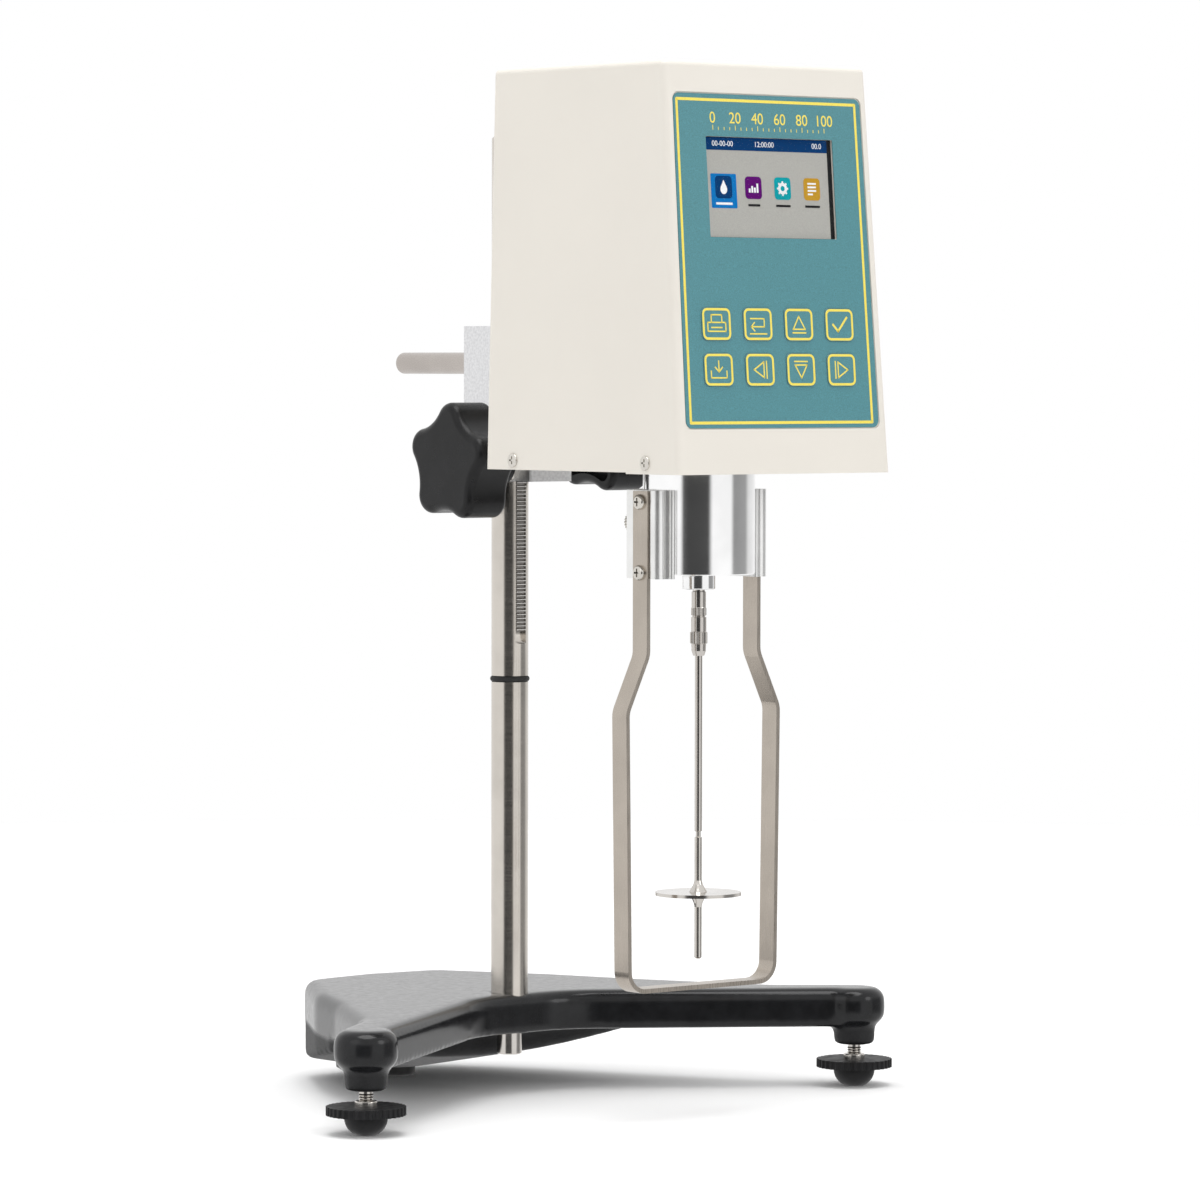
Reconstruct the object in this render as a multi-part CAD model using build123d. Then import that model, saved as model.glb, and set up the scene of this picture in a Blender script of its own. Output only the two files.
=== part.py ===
from build123d import *
import math
import os

# Rotational viscometer: a tripod base with a rack post, a lift carriage, and a measuring
# head that turns a disc spindle inside a U-shaped guard.  Millimetres, +Z up, front at -Y.
# The pieces are drawn about the post axis and moved at the end, so that the origin is the
# middle of the footprint on the bench.

# ---- driving dimensions ---------------------------------------------------------------

# fits
RUN = 0.05            # radial clearance of a shaft that turns or slides in its hole
GAP = 0.3             # air between neighbouring curved faces on different bodies
SEAT = 0.1            # clearance of a loose insert in its pocket

# base casting
BASE_TOP = 41.9
BASE_SLAB_BOTTOM = 25.5
BASE_EDGE_R = 5.0
BASE_FRONT_Y = -10.5
BASE_FRONT_HALF = 23.5
BASE_FRONT_R = 42.0
BASE_REAR_Y = 102.0
BASE_REAR_CORNER = (35.5, 97.5)
BASE_REAR_R = 14.0
BASE_FLANK = (64.5, 50.0)
BASE_FLANK_R = 90.0
BASE_HIP = (80.0, 15.0)
BASE_HIP_R = 90.0
BASE_WAIST = (110.0, -41.0)
BASE_WAIST_R = 32.0
ARM_DIRECTION = (0.807, -0.5905)
ARM_FRONT_OFFSET = 8.6
BELLY_FRONT_Y = 12.0
BELLY_BOTTOM = 4.0
BELLY_FLAT_R = 12.0
BELLY_SLOPE = 0.19
BELLY_INSET = 0.3
BELLY_HALF = 75.0

# foot bosses and levelling feet
FOOT_X = 129.2
FOOT_Y = -72.1
BOSS_R = 12.9
BOSS_TOP_R = 5.5
BOSS_SHOULDER = 31.5
BOSS_NECK_R = 8.65
BOSS_NECK_TOP = 26.5
BOSS_BOTTOM = 17.6
STUD_R = 3.0
STUD_CREST = 0.35
STUD_PITCH = 1.0
STUD_IN_BOSS = 14.0
STUD_HOLE_SPARE = 5.0
COLLAR_R = 4.5
COLLAR_TOP = 13.6
WHEEL_R = 16.0
WHEEL_TOP = 11.4
WHEEL_BOTTOM = 7.9
WHEEL_LOBES = 36
WHEEL_LOBE_DEPTH = 0.55
DOME_R = 8.6
DOME_FLAT_R = 4.1

# rear foot pad
PAD_Y = 80.0
PAD_R = 9.0
PAD_EDGE_R = 1.2

# post, rack and nut
POST_R = 7.75
POST_TOP = 400.0
POST_SEAT_DEPTH = 1.0
TENON_R = 5.0
NUT_R = 5.2
NUT_BOTTOM = 16.2
RACK_WIDTH = 5.3
RACK_BOTTOM = 193.6
RACK_TOP = 396.0
RACK_BACK_Y = -5.2
RACK_TIP_Y = -7.8
MODULE = 0.5
TOOTH_THIN = 0.10
RUNOUT = 5.1
O_RING_Z = 173.7
O_RING_SECTION_R = 1.3
O_RING_OUTER_R = 8.25

# lift carriage
BLOCK_HALF_X = 11.15
BLOCK_FRONT_Y = -27.6
BLOCK_REAR_Y = 17.7
BLOCK_BOTTOM = 256.5
BLOCK_TOP = 320.9
EAR_X = 24.5
EAR_HEIGHT = 30.9
PINION_TEETH = 26
PINION_RACK_STEPS = 45
PINION_HALF_WIDTH = 2.5
PINION_SHAFT_R = 3.5
PINION_TAIL_R = 2.5
PINION_TAIL = 8.0
BUSH_FLANGE = 3.4
BUSH_FLANGE_R = 7.6
KNOB_LOBES = 5
KNOB_LOBE_CENTRE_R = 17.5
KNOB_LOBE_R = 7.5
KNOB_VALLEY_R = 19.6
KNOB_THICK = 20.4
KNOB_EDGE_R = 3.5
KNOB_INNER_EDGE_R = 2.5
KNOB_HUB_R = 9.0
LIFT_KNOB_OUTER_X = -45.6
LIFT_KNOB_TURN = 22.6
LOCK_ABOVE_BOTTOM = 18.1
LOCK_KNOB_INNER_X = 42.6
LOCK_KNOB_TURN = 24.0
LOCK_HUB_R = 7.5
LOCK_HUB_X = 24.0
LOCK_BOSS_R = 8.0
LOCK_BOSS_X = 19.0
LOCK_STUD_R = 3.0
KNOB_HOLLOW_DEPTH = 9.0
KNOB_WALL = 3.8

# head rod and its socket
ROD_R = 4.6
ROD_X = 16.0
ROD_BELOW_TOP = 15.5
ROD_END_Y = 95.0
ROD_END_R = 1.6
ROD_SOCKET_R = 14.0
ROD_SOCKET_DEPTH = 12.0
ROD_SOCKET_DISC = 4.8
ROD_SOCKET_SLEEVE = 4.0
ROD_SOCKET_INSIDE = 9.0
ROD_SOCKET_PLATE = 16.0
ROD_IN_SOCKET = 10.0
GRUB_R = 2.5

# head housing
HEAD_BOTTOM = 262.0
HEAD_TOP = 423.8
HEAD_FRONT_Y = -176.1
HEAD_REAR_Y = -53.5
HEAD_HALF_X = 55.45
LEAN = 0.0824
SIDE_DRAFT = 0.0162
REAR_DRAFT = 0.0113
HEAD_EDGE_R = 3.0
HEAD_TOP_EDGE_R = 2.2
WALL = 2.2
LIP_REAR_Y = -143.6
LIP_RELIEF = 0.6
CHASSIS_BOTTOM = 264.4
CHASSIS_THICK = 4.0
SIDE_SCREW_Z = 266.4
SIDE_SCREW_YS = (-72.1, -155.6)
SIDE_SCREW_HEAD_R = 2.85
SIDE_SCREW_HEAD = 0.7
SIDE_SCREW_R = 1.5
SIDE_SCREW_LENGTH = 8.0

# control panel, measured on the leaning front face: across, and up from its foot
LABEL_BOTTOM = 17.7
LABEL_TOP = 150.1
LABEL_HALF_TOP = 49.05
LABEL_HALF_BOTTOM = 50.7
LABEL_CORNER_R = 3.0
LABEL_RECESS = 0.6
LABEL_THICK = 0.4
LABEL_MARGIN = 0.5
WINDOW_LEFT = -32.9
WINDOW_RIGHT = 33.1
WINDOW_BOTTOM = 93.2
WINDOW_TOP = 132.9
WINDOW_THICK = 1.2
DISPLAY_THICK = 4.0
DISPLAY_BORDER = 3.0
KEY_CENTRE_X = -0.5
KEY_PITCH_X = 21.35
KEY_PITCH_V = 17.95
KEY_ROW_V = 41.1
KEY_WIDTH = 14.8
KEY_HEIGHT = 12.9
KEY_CORNER_R = 2.5
KEY_PROUD = 0.5
KEY_TRAVEL = 0.4
KEY_STEM_R = 3.0
KEY_COLUMNS = 4
KEY_ROWS = 2
SWITCH_R = 2.2
BOARD_THICK = 1.6
KEY_BOARD_DEPTH = 7.0
KEY_BOARD_MARGIN = 4.0
STANDOFF_R = 2.0
STANDOFF_INSET = 3.0

# nose, coupling and spindle
NOSE_Y = -122.5
NOSE_R = 22.65
NOSE_BOTTOM = 221.0
NOSE_BORE_R = 12.0
NOSE_SPIGOT_R = 15.0
NOSE_COLLAR_R = 6.7
NOSE_COLLAR_BORE_R = 3.3
NOSE_FLOOR = 4.0
NOSE_COLLAR_BOTTOM = 214.8
SHAFT_R = 1.5
COUPLING_BOTTOM = 188.1
COUPLING_BORE_DEPTH = 9.0
SPINDLE_TIP = 66.0
DISC_R = 17.345
DISC_TOP = 92.9
DISC_THICK = 1.3
CONE_TOP = 96.9
CONE_BOTTOM = 87.4
CONE_R = 3.7
GROOVE_Z = (115.2, 117.2)
GROOVE_R = 1.02

# drive train inside the head
DRIVE_DISC_R = 24.0
DRIVE_DISC_Z = 318.0
DRIVE_DISC_THICK = 3.0
DRIVE_HUB_R = 7.0
DRIVE_HUB = 4.0
DRIVE_SHAFT_IN_MOTOR = 8.0
CODE_DISC_Z = 296.0
CODE_DISC_THICK = 1.5
CODE_HOLES = 6
CODE_HOLE_R = 4.5
CODE_HOLE_PITCH_R = 13.0
JEWEL_Z = 271.0
PIVOT_TOP = 316.0
MOTOR_PLATE_Z = 332.0
MOTOR_PLATE_THICK = 4.0
MOTOR_R = 21.0
MOTOR_LENGTH = 32.0
PILLAR_R = 4.0
PILLAR_X = 33.0
PILLAR_Y = 28.0
DRIVE_SHAFT_R = 3.0
MEASURING_SHAFT_R = 2.0
SPRING_R = 5.0
SPRING_STEP = 2.2
SPRING_TURNS = 4
SPRING_HEIGHT = 1.2
SPRING_THICK = 0.3
SPRING_ABOVE_DISC = 4.0
GATE_GAP = 5.0
GATE_DEPTH = 5.0
GATE_HALF_WIDTH = 5.0
GATE_REACH = 9.0
GATE_THICK = 2.0
GATE_AIR = 1.5
GATE_ABOVE = 8.0
MAIN_BOARD_SETBACK = 24.0
MAIN_BOARD_HALF_X = 44.0
MAIN_BOARD_FOOT = 6.0
MAIN_BOARD_HEIGHT = 90.0
MAIN_BOARD_LUG = 4.0
MAIN_BOARD_LUG_X = 34.0
MAIN_BOARD_PARTS = (
    (-22.0, 40.0, 16.0, 16.0, 2.5),
    (8.0, 66.0, 22.0, 12.0, 3.0),
    (24.0, 34.0, 12.0, 18.0, 6.0),
    (-28.0, 76.0, 14.0, 10.0, 8.0),
)

# guard
STRIP_WIDTH = 8.8
STRIP_THICK = 1.8
STRIP_Y = -121.45
STRIP_OUTER_X = 29.85
STRIP_TOP = 254.6
STRIP_JOG_TOP = 189.0
STRIP_JOG_BOTTOM = 166.6
STRIP_LOW_X = 40.4
STRIP_FOOT_X = 38.9
STRIP_BOTTOM = 54.0
STRIP_CORNER_R = 8.0
STRIP_BEND_R = 9.0
BRACKET_BOTTOM = 219.6
BRACKET_TOP = 254.9
BRACKET_RING_R = 26.6
BEAD_R = 3.15
BEAD_X = 26.4
BEAD_Y = -128.3
LIP_R = 1.2
LIP_ANGLE = 67.0
BLOCK_REAR = -110.9
GUARD_SCREW_ZS = (250.2, 222.0)
GUARD_SCREW_R = 1.5
GUARD_SCREW_HEAD_R = 3.1
GUARD_SCREW_HEAD = 1.7
THUMB_Z = 240.9
THUMB_R = 4.55
THUMB_END_Y = -80.7
THUMB_HEAD = 7.0
THUMB_STUD_R = 2.0
THUMB_BOSS_R = 5.5
THUMB_BOSS_END_Y = -91.0

# rear panel fittings
SWITCH_X = -30.0
SWITCH_BELOW_TOP = 38.8
SWITCH_WIDTH = 13.0
SWITCH_HEIGHT = 19.0
SWITCH_BEZEL = 1.6
SWITCH_DEPTH = 14.0
SWITCH_WALL = 1.2
SWITCH_CAVITY = 10.0
SWITCH_PROUD = 0.3
ROCKER_PIVOT_DEPTH = 3.5
ROCKER_PIVOT_R = 1.2
ROCKER_PIVOT_HALF = 6.0
INLET_X = -30.0
INLET_BELOW_TOP = 71.8
INLET_R = 5.5
INLET_BORE_R = 3.2
INLET_DEPTH = 12.0
DATA_X = 22.0
DATA_BELOW_TOP = 38.8
DATA_WIDTH = 31.0
DATA_HEIGHT = 12.5
DATA_SCREW_HALF = 12.5
DATA_SCREW_R = 1.2
DATA_SCREW_POST_R = 2.4
PROBE_X = 28.0
PROBE_BELOW_TOP = 71.8
PROBE_R = 6.0

# bubble level in the top
LEVEL_Y = -100.0
LEVEL_R = 7.5
LEVEL_DEPTH = 6.0
LEVEL_RIM = 1.2

# ---- derived places -------------------------------------------------------------------

PINION_PITCH_R = MODULE * PINION_TEETH / 2
RACK_PITCH = math.pi * MODULE
PITCH_LINE_Y = RACK_TIP_Y + MODULE
PINION_Y = PITCH_LINE_Y - PINION_PITCH_R
PINION_Z = RACK_BOTTOM + PINION_RACK_STEPS * RACK_PITCH
PINION_TIP_R = PINION_PITCH_R + 0.9 * MODULE
PINION_BORE_R = PINION_TIP_R + GAP
LIFT_KNOB_INNER_X = LIFT_KNOB_OUTER_X + KNOB_THICK
EAR_BOTTOM = BLOCK_TOP - EAR_HEIGHT
LOCK_Z = BLOCK_BOTTOM + LOCK_ABOVE_BOTTOM
ROD_Z = BLOCK_TOP - ROD_BELOW_TOP
SWITCH_Z = HEAD_TOP - SWITCH_BELOW_TOP
INLET_Z = HEAD_TOP - INLET_BELOW_TOP
DATA_Z = HEAD_TOP - DATA_BELOW_TOP
PROBE_Z = HEAD_TOP - PROBE_BELOW_TOP
CHASSIS_TOP = CHASSIS_BOTTOM + CHASSIS_THICK
ORIGIN_Y = (HEAD_FRONT_Y + BASE_REAR_Y) / 2
STRIP_INNER_X = STRIP_OUTER_X - STRIP_THICK
FRONT = Plane(
    origin=(0, HEAD_FRONT_Y, HEAD_BOTTOM),
    x_dir=(1, 0, 0),
    z_dir=(0, -1, LEAN),
)
PANEL_FLOOR = -LABEL_RECESS
PANEL_FACE = PANEL_FLOOR + LABEL_THICK
HOUSING_INSIDE = -WALL

# ---- small helpers --------------------------------------------------------------------


def box(x0, x1, y0, y1, z0, z1):
    """Block between two corners."""
    return Pos(x0, y0, z0) * Box(x1 - x0, y1 - y0, z1 - z0, align=(Align.MIN,) * 3)


def post_z(radius, z0, z1, x=0.0, y=0.0):
    """Upright cylinder from z0 to z1."""
    upright = (Align.CENTER, Align.CENTER, Align.MIN)
    return Pos(x, y, z0) * Cylinder(radius, z1 - z0, align=upright)


def bar_x(radius, x0, x1, y, z):
    """Cylinder along X."""
    return Pos((x0 + x1) / 2, y, z) * Rot(0, 90, 0) * Cylinder(radius, x1 - x0)


def bar_y(radius, y0, y1, x, z):
    """Cylinder along Y."""
    return Pos(x, (y0 + y1) / 2, z) * Rot(90, 0, 0) * Cylinder(radius, y1 - y0)


def turned(points, x=0.0, y=0.0):
    """Solid of revolution about an upright axis from (radius, z) points."""
    outline = make_face(Polyline(*points, close=True).edges())
    return Pos(x, y, 0) * revolve(Plane.XZ * outline, Axis.Z)


def on_front(u, v, shape, out=0.0):
    """Place a shape on the leaning front face."""
    return FRONT * Pos(u, v, out) * shape


def front_plate(width, height, corner, low, high):
    """Rounded plate lying on the front face between two depths."""
    plate = extrude(RectangleRounded(width, height, corner), high - low)
    return Pos(0, 0, low) * plate


def mirrored(shape):
    """The same shape on the other side of the middle plane."""
    return mirror(shape, about=Plane.YZ)


def star_face(lobe_r, lobe_centre_r, valley_r, turn):
    """Outline of a lobed knob: round lobes joined by hollow arcs."""
    half = math.pi / KNOB_LOBES
    lift = lobe_centre_r * math.cos(half)
    top = lobe_r**2 - valley_r**2 - lobe_centre_r**2 + 2 * valley_r * lift
    hollow_r = top / (2 * (valley_r - lift - lobe_r))
    share = lobe_r / (lobe_r + hollow_r)
    edges = []
    for lobe in range(KNOB_LOBES):
        angle = math.radians(turn) + 2 * half * lobe

        def spot(radius, offset):
            return Vector(radius * math.cos(angle + offset), radius * math.sin(angle + offset))

        centre = spot(lobe_centre_r, 0)
        after = centre + (spot(valley_r + hollow_r, half) - centre) * share
        before = centre + (spot(valley_r + hollow_r, -half) - centre) * share
        next_centre = spot(lobe_centre_r, 2 * half)
        arrive = next_centre + (spot(valley_r + hollow_r, half) - next_centre) * share
        edges.append(ThreePointArc(before, spot(lobe_centre_r + lobe_r, 0), after))
        edges.append(ThreePointArc(after, spot(valley_r, half), arrive))
    return make_face(edges)


def star_knob(turn):
    """Knob along +X from its inner face, with softened rims."""
    face = star_face(KNOB_LOBE_R, KNOB_LOBE_CENTRE_R, KNOB_VALLEY_R, turn)
    body = extrude(Plane.YZ * face, KNOB_THICK)
    body = fillet(body.edges().group_by(Axis.X)[-1], KNOB_EDGE_R)
    return fillet(body.edges().group_by(Axis.X)[0], KNOB_INNER_EDGE_R)


# ---- base -----------------------------------------------------------------------------


def base_outline():
    """Plan of the slab: rear lobe, hips, waists and two arms that run into the foot bosses."""
    centre = Vector(FOOT_X, FOOT_Y)
    across = Vector(-ARM_DIRECTION[1], ARM_DIRECTION[0])
    points = [
        Vector(0, BASE_REAR_Y),
        Vector(0, BASE_FRONT_Y),
        Vector(BASE_FRONT_HALF, BASE_FRONT_Y),
        centre - across * ARM_FRONT_OFFSET,
        centre + across * BOSS_R,
        Vector(*BASE_WAIST),
        Vector(*BASE_HIP),
        Vector(*BASE_FLANK),
        Vector(*BASE_REAR_CORNER),
    ]
    half = make_face(Polyline(*points, close=True).edges())
    whole = half + mirror(half, about=Plane.YZ)
    for spot, radius in (
        ((BASE_FRONT_HALF, BASE_FRONT_Y), BASE_FRONT_R),
        (BASE_WAIST, BASE_WAIST_R),
        (BASE_HIP, BASE_HIP_R),
        (BASE_FLANK, BASE_FLANK_R),
        (BASE_REAR_CORNER, BASE_REAR_R),
    ):
        for side in (1, -1):
            corner = whole.vertices().sort_by_distance((side * spot[0], spot[1], 0))[0]
            whole = fillet(corner, radius)
    return whole


def foot_boss():
    """Rounded boss that carries a levelling foot, with a narrower neck below."""
    low = BOSS_BOTTOM
    top = BASE_TOP
    with BuildSketch(Plane.XZ) as profile:
        with BuildLine():
            Polyline((0, top), (0, low), (BOSS_NECK_R, low), (BOSS_NECK_R, BOSS_NECK_TOP))
            shoulder_drop = BOSS_SHOULDER - BOSS_NECK_TOP
            ThreePointArc(
                (BOSS_NECK_R, BOSS_NECK_TOP),
                (
                    BOSS_NECK_R + (BOSS_R - BOSS_NECK_R) * math.sin(math.radians(50)),
                    BOSS_NECK_TOP + shoulder_drop * (1 - math.cos(math.radians(50))),
                ),
                (BOSS_R, BOSS_SHOULDER),
            )
            Line((BOSS_R, BOSS_SHOULDER), (BOSS_R, top - BOSS_TOP_R))
            ThreePointArc(
                (BOSS_R, top - BOSS_TOP_R),
                (
                    BOSS_R - BOSS_TOP_R * (1 - math.cos(math.radians(45))),
                    top - BOSS_TOP_R * (1 - math.sin(math.radians(45))),
                ),
                (BOSS_R - BOSS_TOP_R, top),
            )
            Line((BOSS_R - BOSS_TOP_R, top), (0, top))
        make_face()
    return revolve(profile.sketch, Axis.Z)


def make_base_casting():
    outline = base_outline()
    slab = Pos(0, 0, BASE_SLAB_BOTTOM) * extrude(outline, BASE_TOP - BASE_SLAB_BOTTOM)
    slab = fillet(slab.edges().group_by(Axis.Z)[-1], BASE_EDGE_R)
    belly_height = BASE_SLAB_BOTTOM - BELLY_BOTTOM
    cone_top_r = BELLY_FLAT_R + belly_height / BELLY_SLOPE
    cone = Pos(0, PAD_Y, BELLY_BOTTOM + belly_height / 2) * Cone(
        BELLY_FLAT_R, cone_top_r, belly_height
    )
    keep = box(-BELLY_HALF, BELLY_HALF, BELLY_FRONT_Y, BASE_REAR_Y, 0, BASE_TOP)
    lobe = Pos(0, 0, BELLY_BOTTOM) * extrude(offset(outline, -BELLY_INSET), belly_height)
    belly = lobe & cone & keep
    casting = slab + belly
    boss = foot_boss()
    for side in (1, -1):
        casting += Pos(side * FOOT_X, FOOT_Y, 0) * boss
    casting -= post_z(POST_R, BASE_TOP - POST_SEAT_DEPTH, BASE_TOP + 1)
    casting -= post_z(TENON_R, 0, BASE_TOP)
    stud_hole_top = BOSS_BOTTOM + STUD_IN_BOSS + STUD_HOLE_SPARE
    for side in (1, -1):
        casting -= post_z(STUD_R + RUN, 0, stud_hole_top, side * FOOT_X, FOOT_Y)
    return casting


def make_rear_foot_pad():
    pad = post_z(PAD_R, 0, BELLY_BOTTOM, 0, PAD_Y)
    return fillet(pad.edges().group_by(Axis.Z)[0], PAD_EDGE_R)


def make_foot_stud():
    """Threaded stud: plain rings stand for the thread where it shows."""
    low = COLLAR_TOP
    high = BOSS_BOTTOM + STUD_IN_BOSS
    rings = int((BOSS_BOTTOM - 0.6 - low) / STUD_PITCH)
    points = [(0, WHEEL_BOTTOM), (STUD_R - STUD_CREST, WHEEL_BOTTOM)]
    points.append((STUD_R - STUD_CREST, low))
    for ring in range(rings):
        start = low + ring * STUD_PITCH
        points.append((STUD_R - STUD_CREST, start + 0.1))
        points.append((STUD_R, start + STUD_PITCH / 2))
        points.append((STUD_R - STUD_CREST, start + STUD_PITCH - 0.1))
    points.append((STUD_R - STUD_CREST, high))
    points.append((0, high))
    return turned(points)


def make_foot_collar():
    ring = post_z(COLLAR_R, WHEEL_TOP, COLLAR_TOP)
    ring = fillet(ring.edges().group_by(Axis.Z)[-1], 0.5)
    return ring - post_z(STUD_R - STUD_CREST + RUN, 0, COLLAR_TOP + 1)


def make_foot_wheel():
    disc = Circle(WHEEL_R - WHEEL_LOBE_DEPTH)
    lobe_r = math.pi * WHEEL_R / WHEEL_LOBES * 0.62
    for lobe in range(WHEEL_LOBES):
        angle = 360 / WHEEL_LOBES * lobe
        disc += Rot(0, 0, angle) * Pos(WHEEL_R - lobe_r, 0) * Circle(lobe_r)
    wheel = Pos(0, 0, WHEEL_BOTTOM) * extrude(disc, WHEEL_TOP - WHEEL_BOTTOM)
    sag = WHEEL_BOTTOM
    ball_r = (DOME_R**2 + DOME_FLAT_R**2) / (2 * DOME_R) + sag**2 / (2 * DOME_R)
    with BuildSketch(Plane.XZ) as profile:
        with BuildLine():
            Polyline((0, sag), (0, 0), (DOME_FLAT_R, 0))
            ThreePointArc(
                (DOME_FLAT_R, 0),
                ((DOME_FLAT_R + DOME_R) / 2 + ball_r * 0.13, sag * 0.36),
                (DOME_R, sag),
            )
            Line((DOME_R, sag), (0, sag))
        make_face()
    wheel += revolve(profile.sketch, Axis.Z)
    return wheel - post_z(STUD_R - STUD_CREST, WHEEL_BOTTOM, WHEEL_TOP + 1)


# ---- post -----------------------------------------------------------------------------


def make_post():
    shaft = post_z(POST_R, BASE_TOP - POST_SEAT_DEPTH, POST_TOP)
    shaft = chamfer(shaft.edges().group_by(Axis.Z)[-1], 1.0)
    shaft += post_z(TENON_R, BASE_SLAB_BOTTOM, BASE_TOP)
    shaft += post_z(TENON_R - 2, NUT_BOTTOM + 2, BASE_TOP)
    half = RACK_WIDTH / 2 + 0.02
    shaft -= box(-half, half, -POST_R - 1, RACK_BACK_Y, RACK_BOTTOM, POST_TOP + 1)
    cutter_r = (RUNOUT**2 + (POST_R + RACK_BACK_Y) ** 2) / (2 * (POST_R + RACK_BACK_Y))
    cutter_y = RACK_BACK_Y - cutter_r
    runout = bar_x(cutter_r, -half, half, cutter_y, RACK_BOTTOM)
    shaft -= runout & box(-half, half, -POST_R - 1, 0, 0, RACK_BOTTOM)
    groove_r = O_RING_OUTER_R - 2 * O_RING_SECTION_R
    low = O_RING_Z - O_RING_SECTION_R
    high = O_RING_Z + O_RING_SECTION_R
    shaft -= post_z(POST_R + 1, low, high) - post_z(groove_r, low, high)
    return shaft


def make_rack_bar():
    half_pitch = RACK_PITCH / 2
    slope = math.tan(math.radians(20))
    tip_half = half_pitch / 2 - MODULE * slope - TOOTH_THIN / 2
    root_half = half_pitch / 2 + 1.2 * MODULE * slope - TOOTH_THIN / 2
    root_y = PITCH_LINE_Y + 1.2 * MODULE
    points = [(RACK_BACK_Y, RACK_BOTTOM), (root_y, RACK_BOTTOM)]
    for tooth in range(int((RACK_TOP - RACK_BOTTOM) / RACK_PITCH)):
        middle = RACK_BOTTOM + (tooth + 0.5) * RACK_PITCH
        points.append((root_y, middle - root_half))
        points.append((RACK_TIP_Y, middle - tip_half))
        points.append((RACK_TIP_Y, middle + tip_half))
        points.append((root_y, middle + root_half))
    points.append((root_y, RACK_TOP))
    points.append((RACK_BACK_Y, RACK_TOP))
    face = make_face(Polyline(*points, close=True).edges())
    bar = extrude(Plane.YZ * face, RACK_WIDTH)
    return Pos(-RACK_WIDTH / 2, 0, 0) * bar


def make_o_ring():
    middle_r = O_RING_OUTER_R - O_RING_SECTION_R
    return Pos(0, 0, O_RING_Z) * Torus(middle_r, O_RING_SECTION_R)


def make_post_nut():
    nut = post_z(NUT_R, NUT_BOTTOM, BASE_SLAB_BOTTOM)
    nut = chamfer(nut.edges().group_by(Axis.Z)[0], 0.5)
    return nut - post_z(TENON_R - 2, NUT_BOTTOM + 2, BASE_SLAB_BOTTOM)


# ---- lift carriage --------------------------------------------------------------------


def make_lift_block():
    half = BLOCK_HALF_X
    block = box(-half, half, BLOCK_FRONT_Y, BLOCK_REAR_Y, BLOCK_BOTTOM, BLOCK_TOP)
    block += box(half, EAR_X, BLOCK_FRONT_Y, BLOCK_REAR_Y, EAR_BOTTOM, BLOCK_TOP)
    block = chamfer(block.edges().filter_by(Axis.Z), 0.6)
    block += bar_x(LOCK_BOSS_R, half, LOCK_BOSS_X, 0, LOCK_Z)
    block -= post_z(POST_R + RUN, 0, BLOCK_TOP + 1)
    channel = RACK_WIDTH / 2 + GAP
    block -= box(-channel, channel, PINION_Y, 0, 0, BLOCK_TOP + 1) & post_z(
        -RACK_TIP_Y + 1.0, 0, BLOCK_TOP + 1
    )
    pocket = PINION_HALF_WIDTH + GAP
    block -= bar_x(PINION_BORE_R, -half - 1, pocket, PINION_Y, PINION_Z)
    block -= bar_x(PINION_TAIL_R + RUN, 0, PINION_TAIL + GAP, PINION_Y, PINION_Z)
    block -= bar_x(LOCK_STUD_R + RUN, 0, LOCK_BOSS_X + 1, 0, LOCK_Z)
    block -= bar_y(ROD_R + RUN, BLOCK_FRONT_Y - 1, BLOCK_REAR_Y + 1, ROD_X, ROD_Z)
    block -= post_z(GRUB_R, ROD_Z, BLOCK_TOP + 1, ROD_X, 0)
    return block


def make_pinion_bush():
    inner = -PINION_HALF_WIDTH - GAP
    outer = -BLOCK_HALF_X
    bush = bar_x(PINION_BORE_R, outer, inner, PINION_Y, PINION_Z)
    bush += bar_x(BUSH_FLANGE_R, outer - BUSH_FLANGE, outer, PINION_Y, PINION_Z)
    bush -= post_z(POST_R + RUN, 0, BLOCK_TOP)
    return bush - bar_x(PINION_SHAFT_R + RUN, LIFT_KNOB_OUTER_X, inner + 1, PINION_Y, PINION_Z)


def make_pinion_shaft():
    root_r = PINION_PITCH_R - 1.2 * MODULE
    half_pitch = math.pi / PINION_TEETH
    thin = TOOTH_THIN / PINION_PITCH_R
    points = []
    for tooth in range(PINION_TEETH):
        middle = 2 * half_pitch * tooth
        for radius, part in (
            (root_r, -0.78),
            (PINION_TIP_R, -0.24),
            (PINION_TIP_R, 0.24),
            (root_r, 0.78),
        ):
            swing = part * half_pitch - math.copysign(thin / 2, part)
            points.append((radius * math.cos(middle + swing), radius * math.sin(middle + swing)))
    face = make_face(Polyline(*points, close=True).edges())
    gear = Pos(-PINION_HALF_WIDTH, PINION_Y, PINION_Z) * extrude(
        Plane.YZ * face, 2 * PINION_HALF_WIDTH
    )
    into_knob = LIFT_KNOB_INNER_X - KNOB_THICK / 2
    gear += bar_x(PINION_SHAFT_R, into_knob, -PINION_HALF_WIDTH, PINION_Y, PINION_Z)
    return gear + bar_x(PINION_TAIL_R, PINION_HALF_WIDTH, PINION_TAIL, PINION_Y, PINION_Z)


def make_lift_knob():
    knob = mirrored(star_knob(LIFT_KNOB_TURN))
    knob = Pos(LIFT_KNOB_INNER_X, PINION_Y, PINION_Z) * knob
    hub_end = -BLOCK_HALF_X - BUSH_FLANGE - GAP
    knob += bar_x(KNOB_HUB_R, LIFT_KNOB_INNER_X, hub_end, PINION_Y, PINION_Z)
    into_knob = LIFT_KNOB_INNER_X - KNOB_THICK / 2
    return knob - bar_x(PINION_SHAFT_R, into_knob, 0, PINION_Y, PINION_Z)


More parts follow.
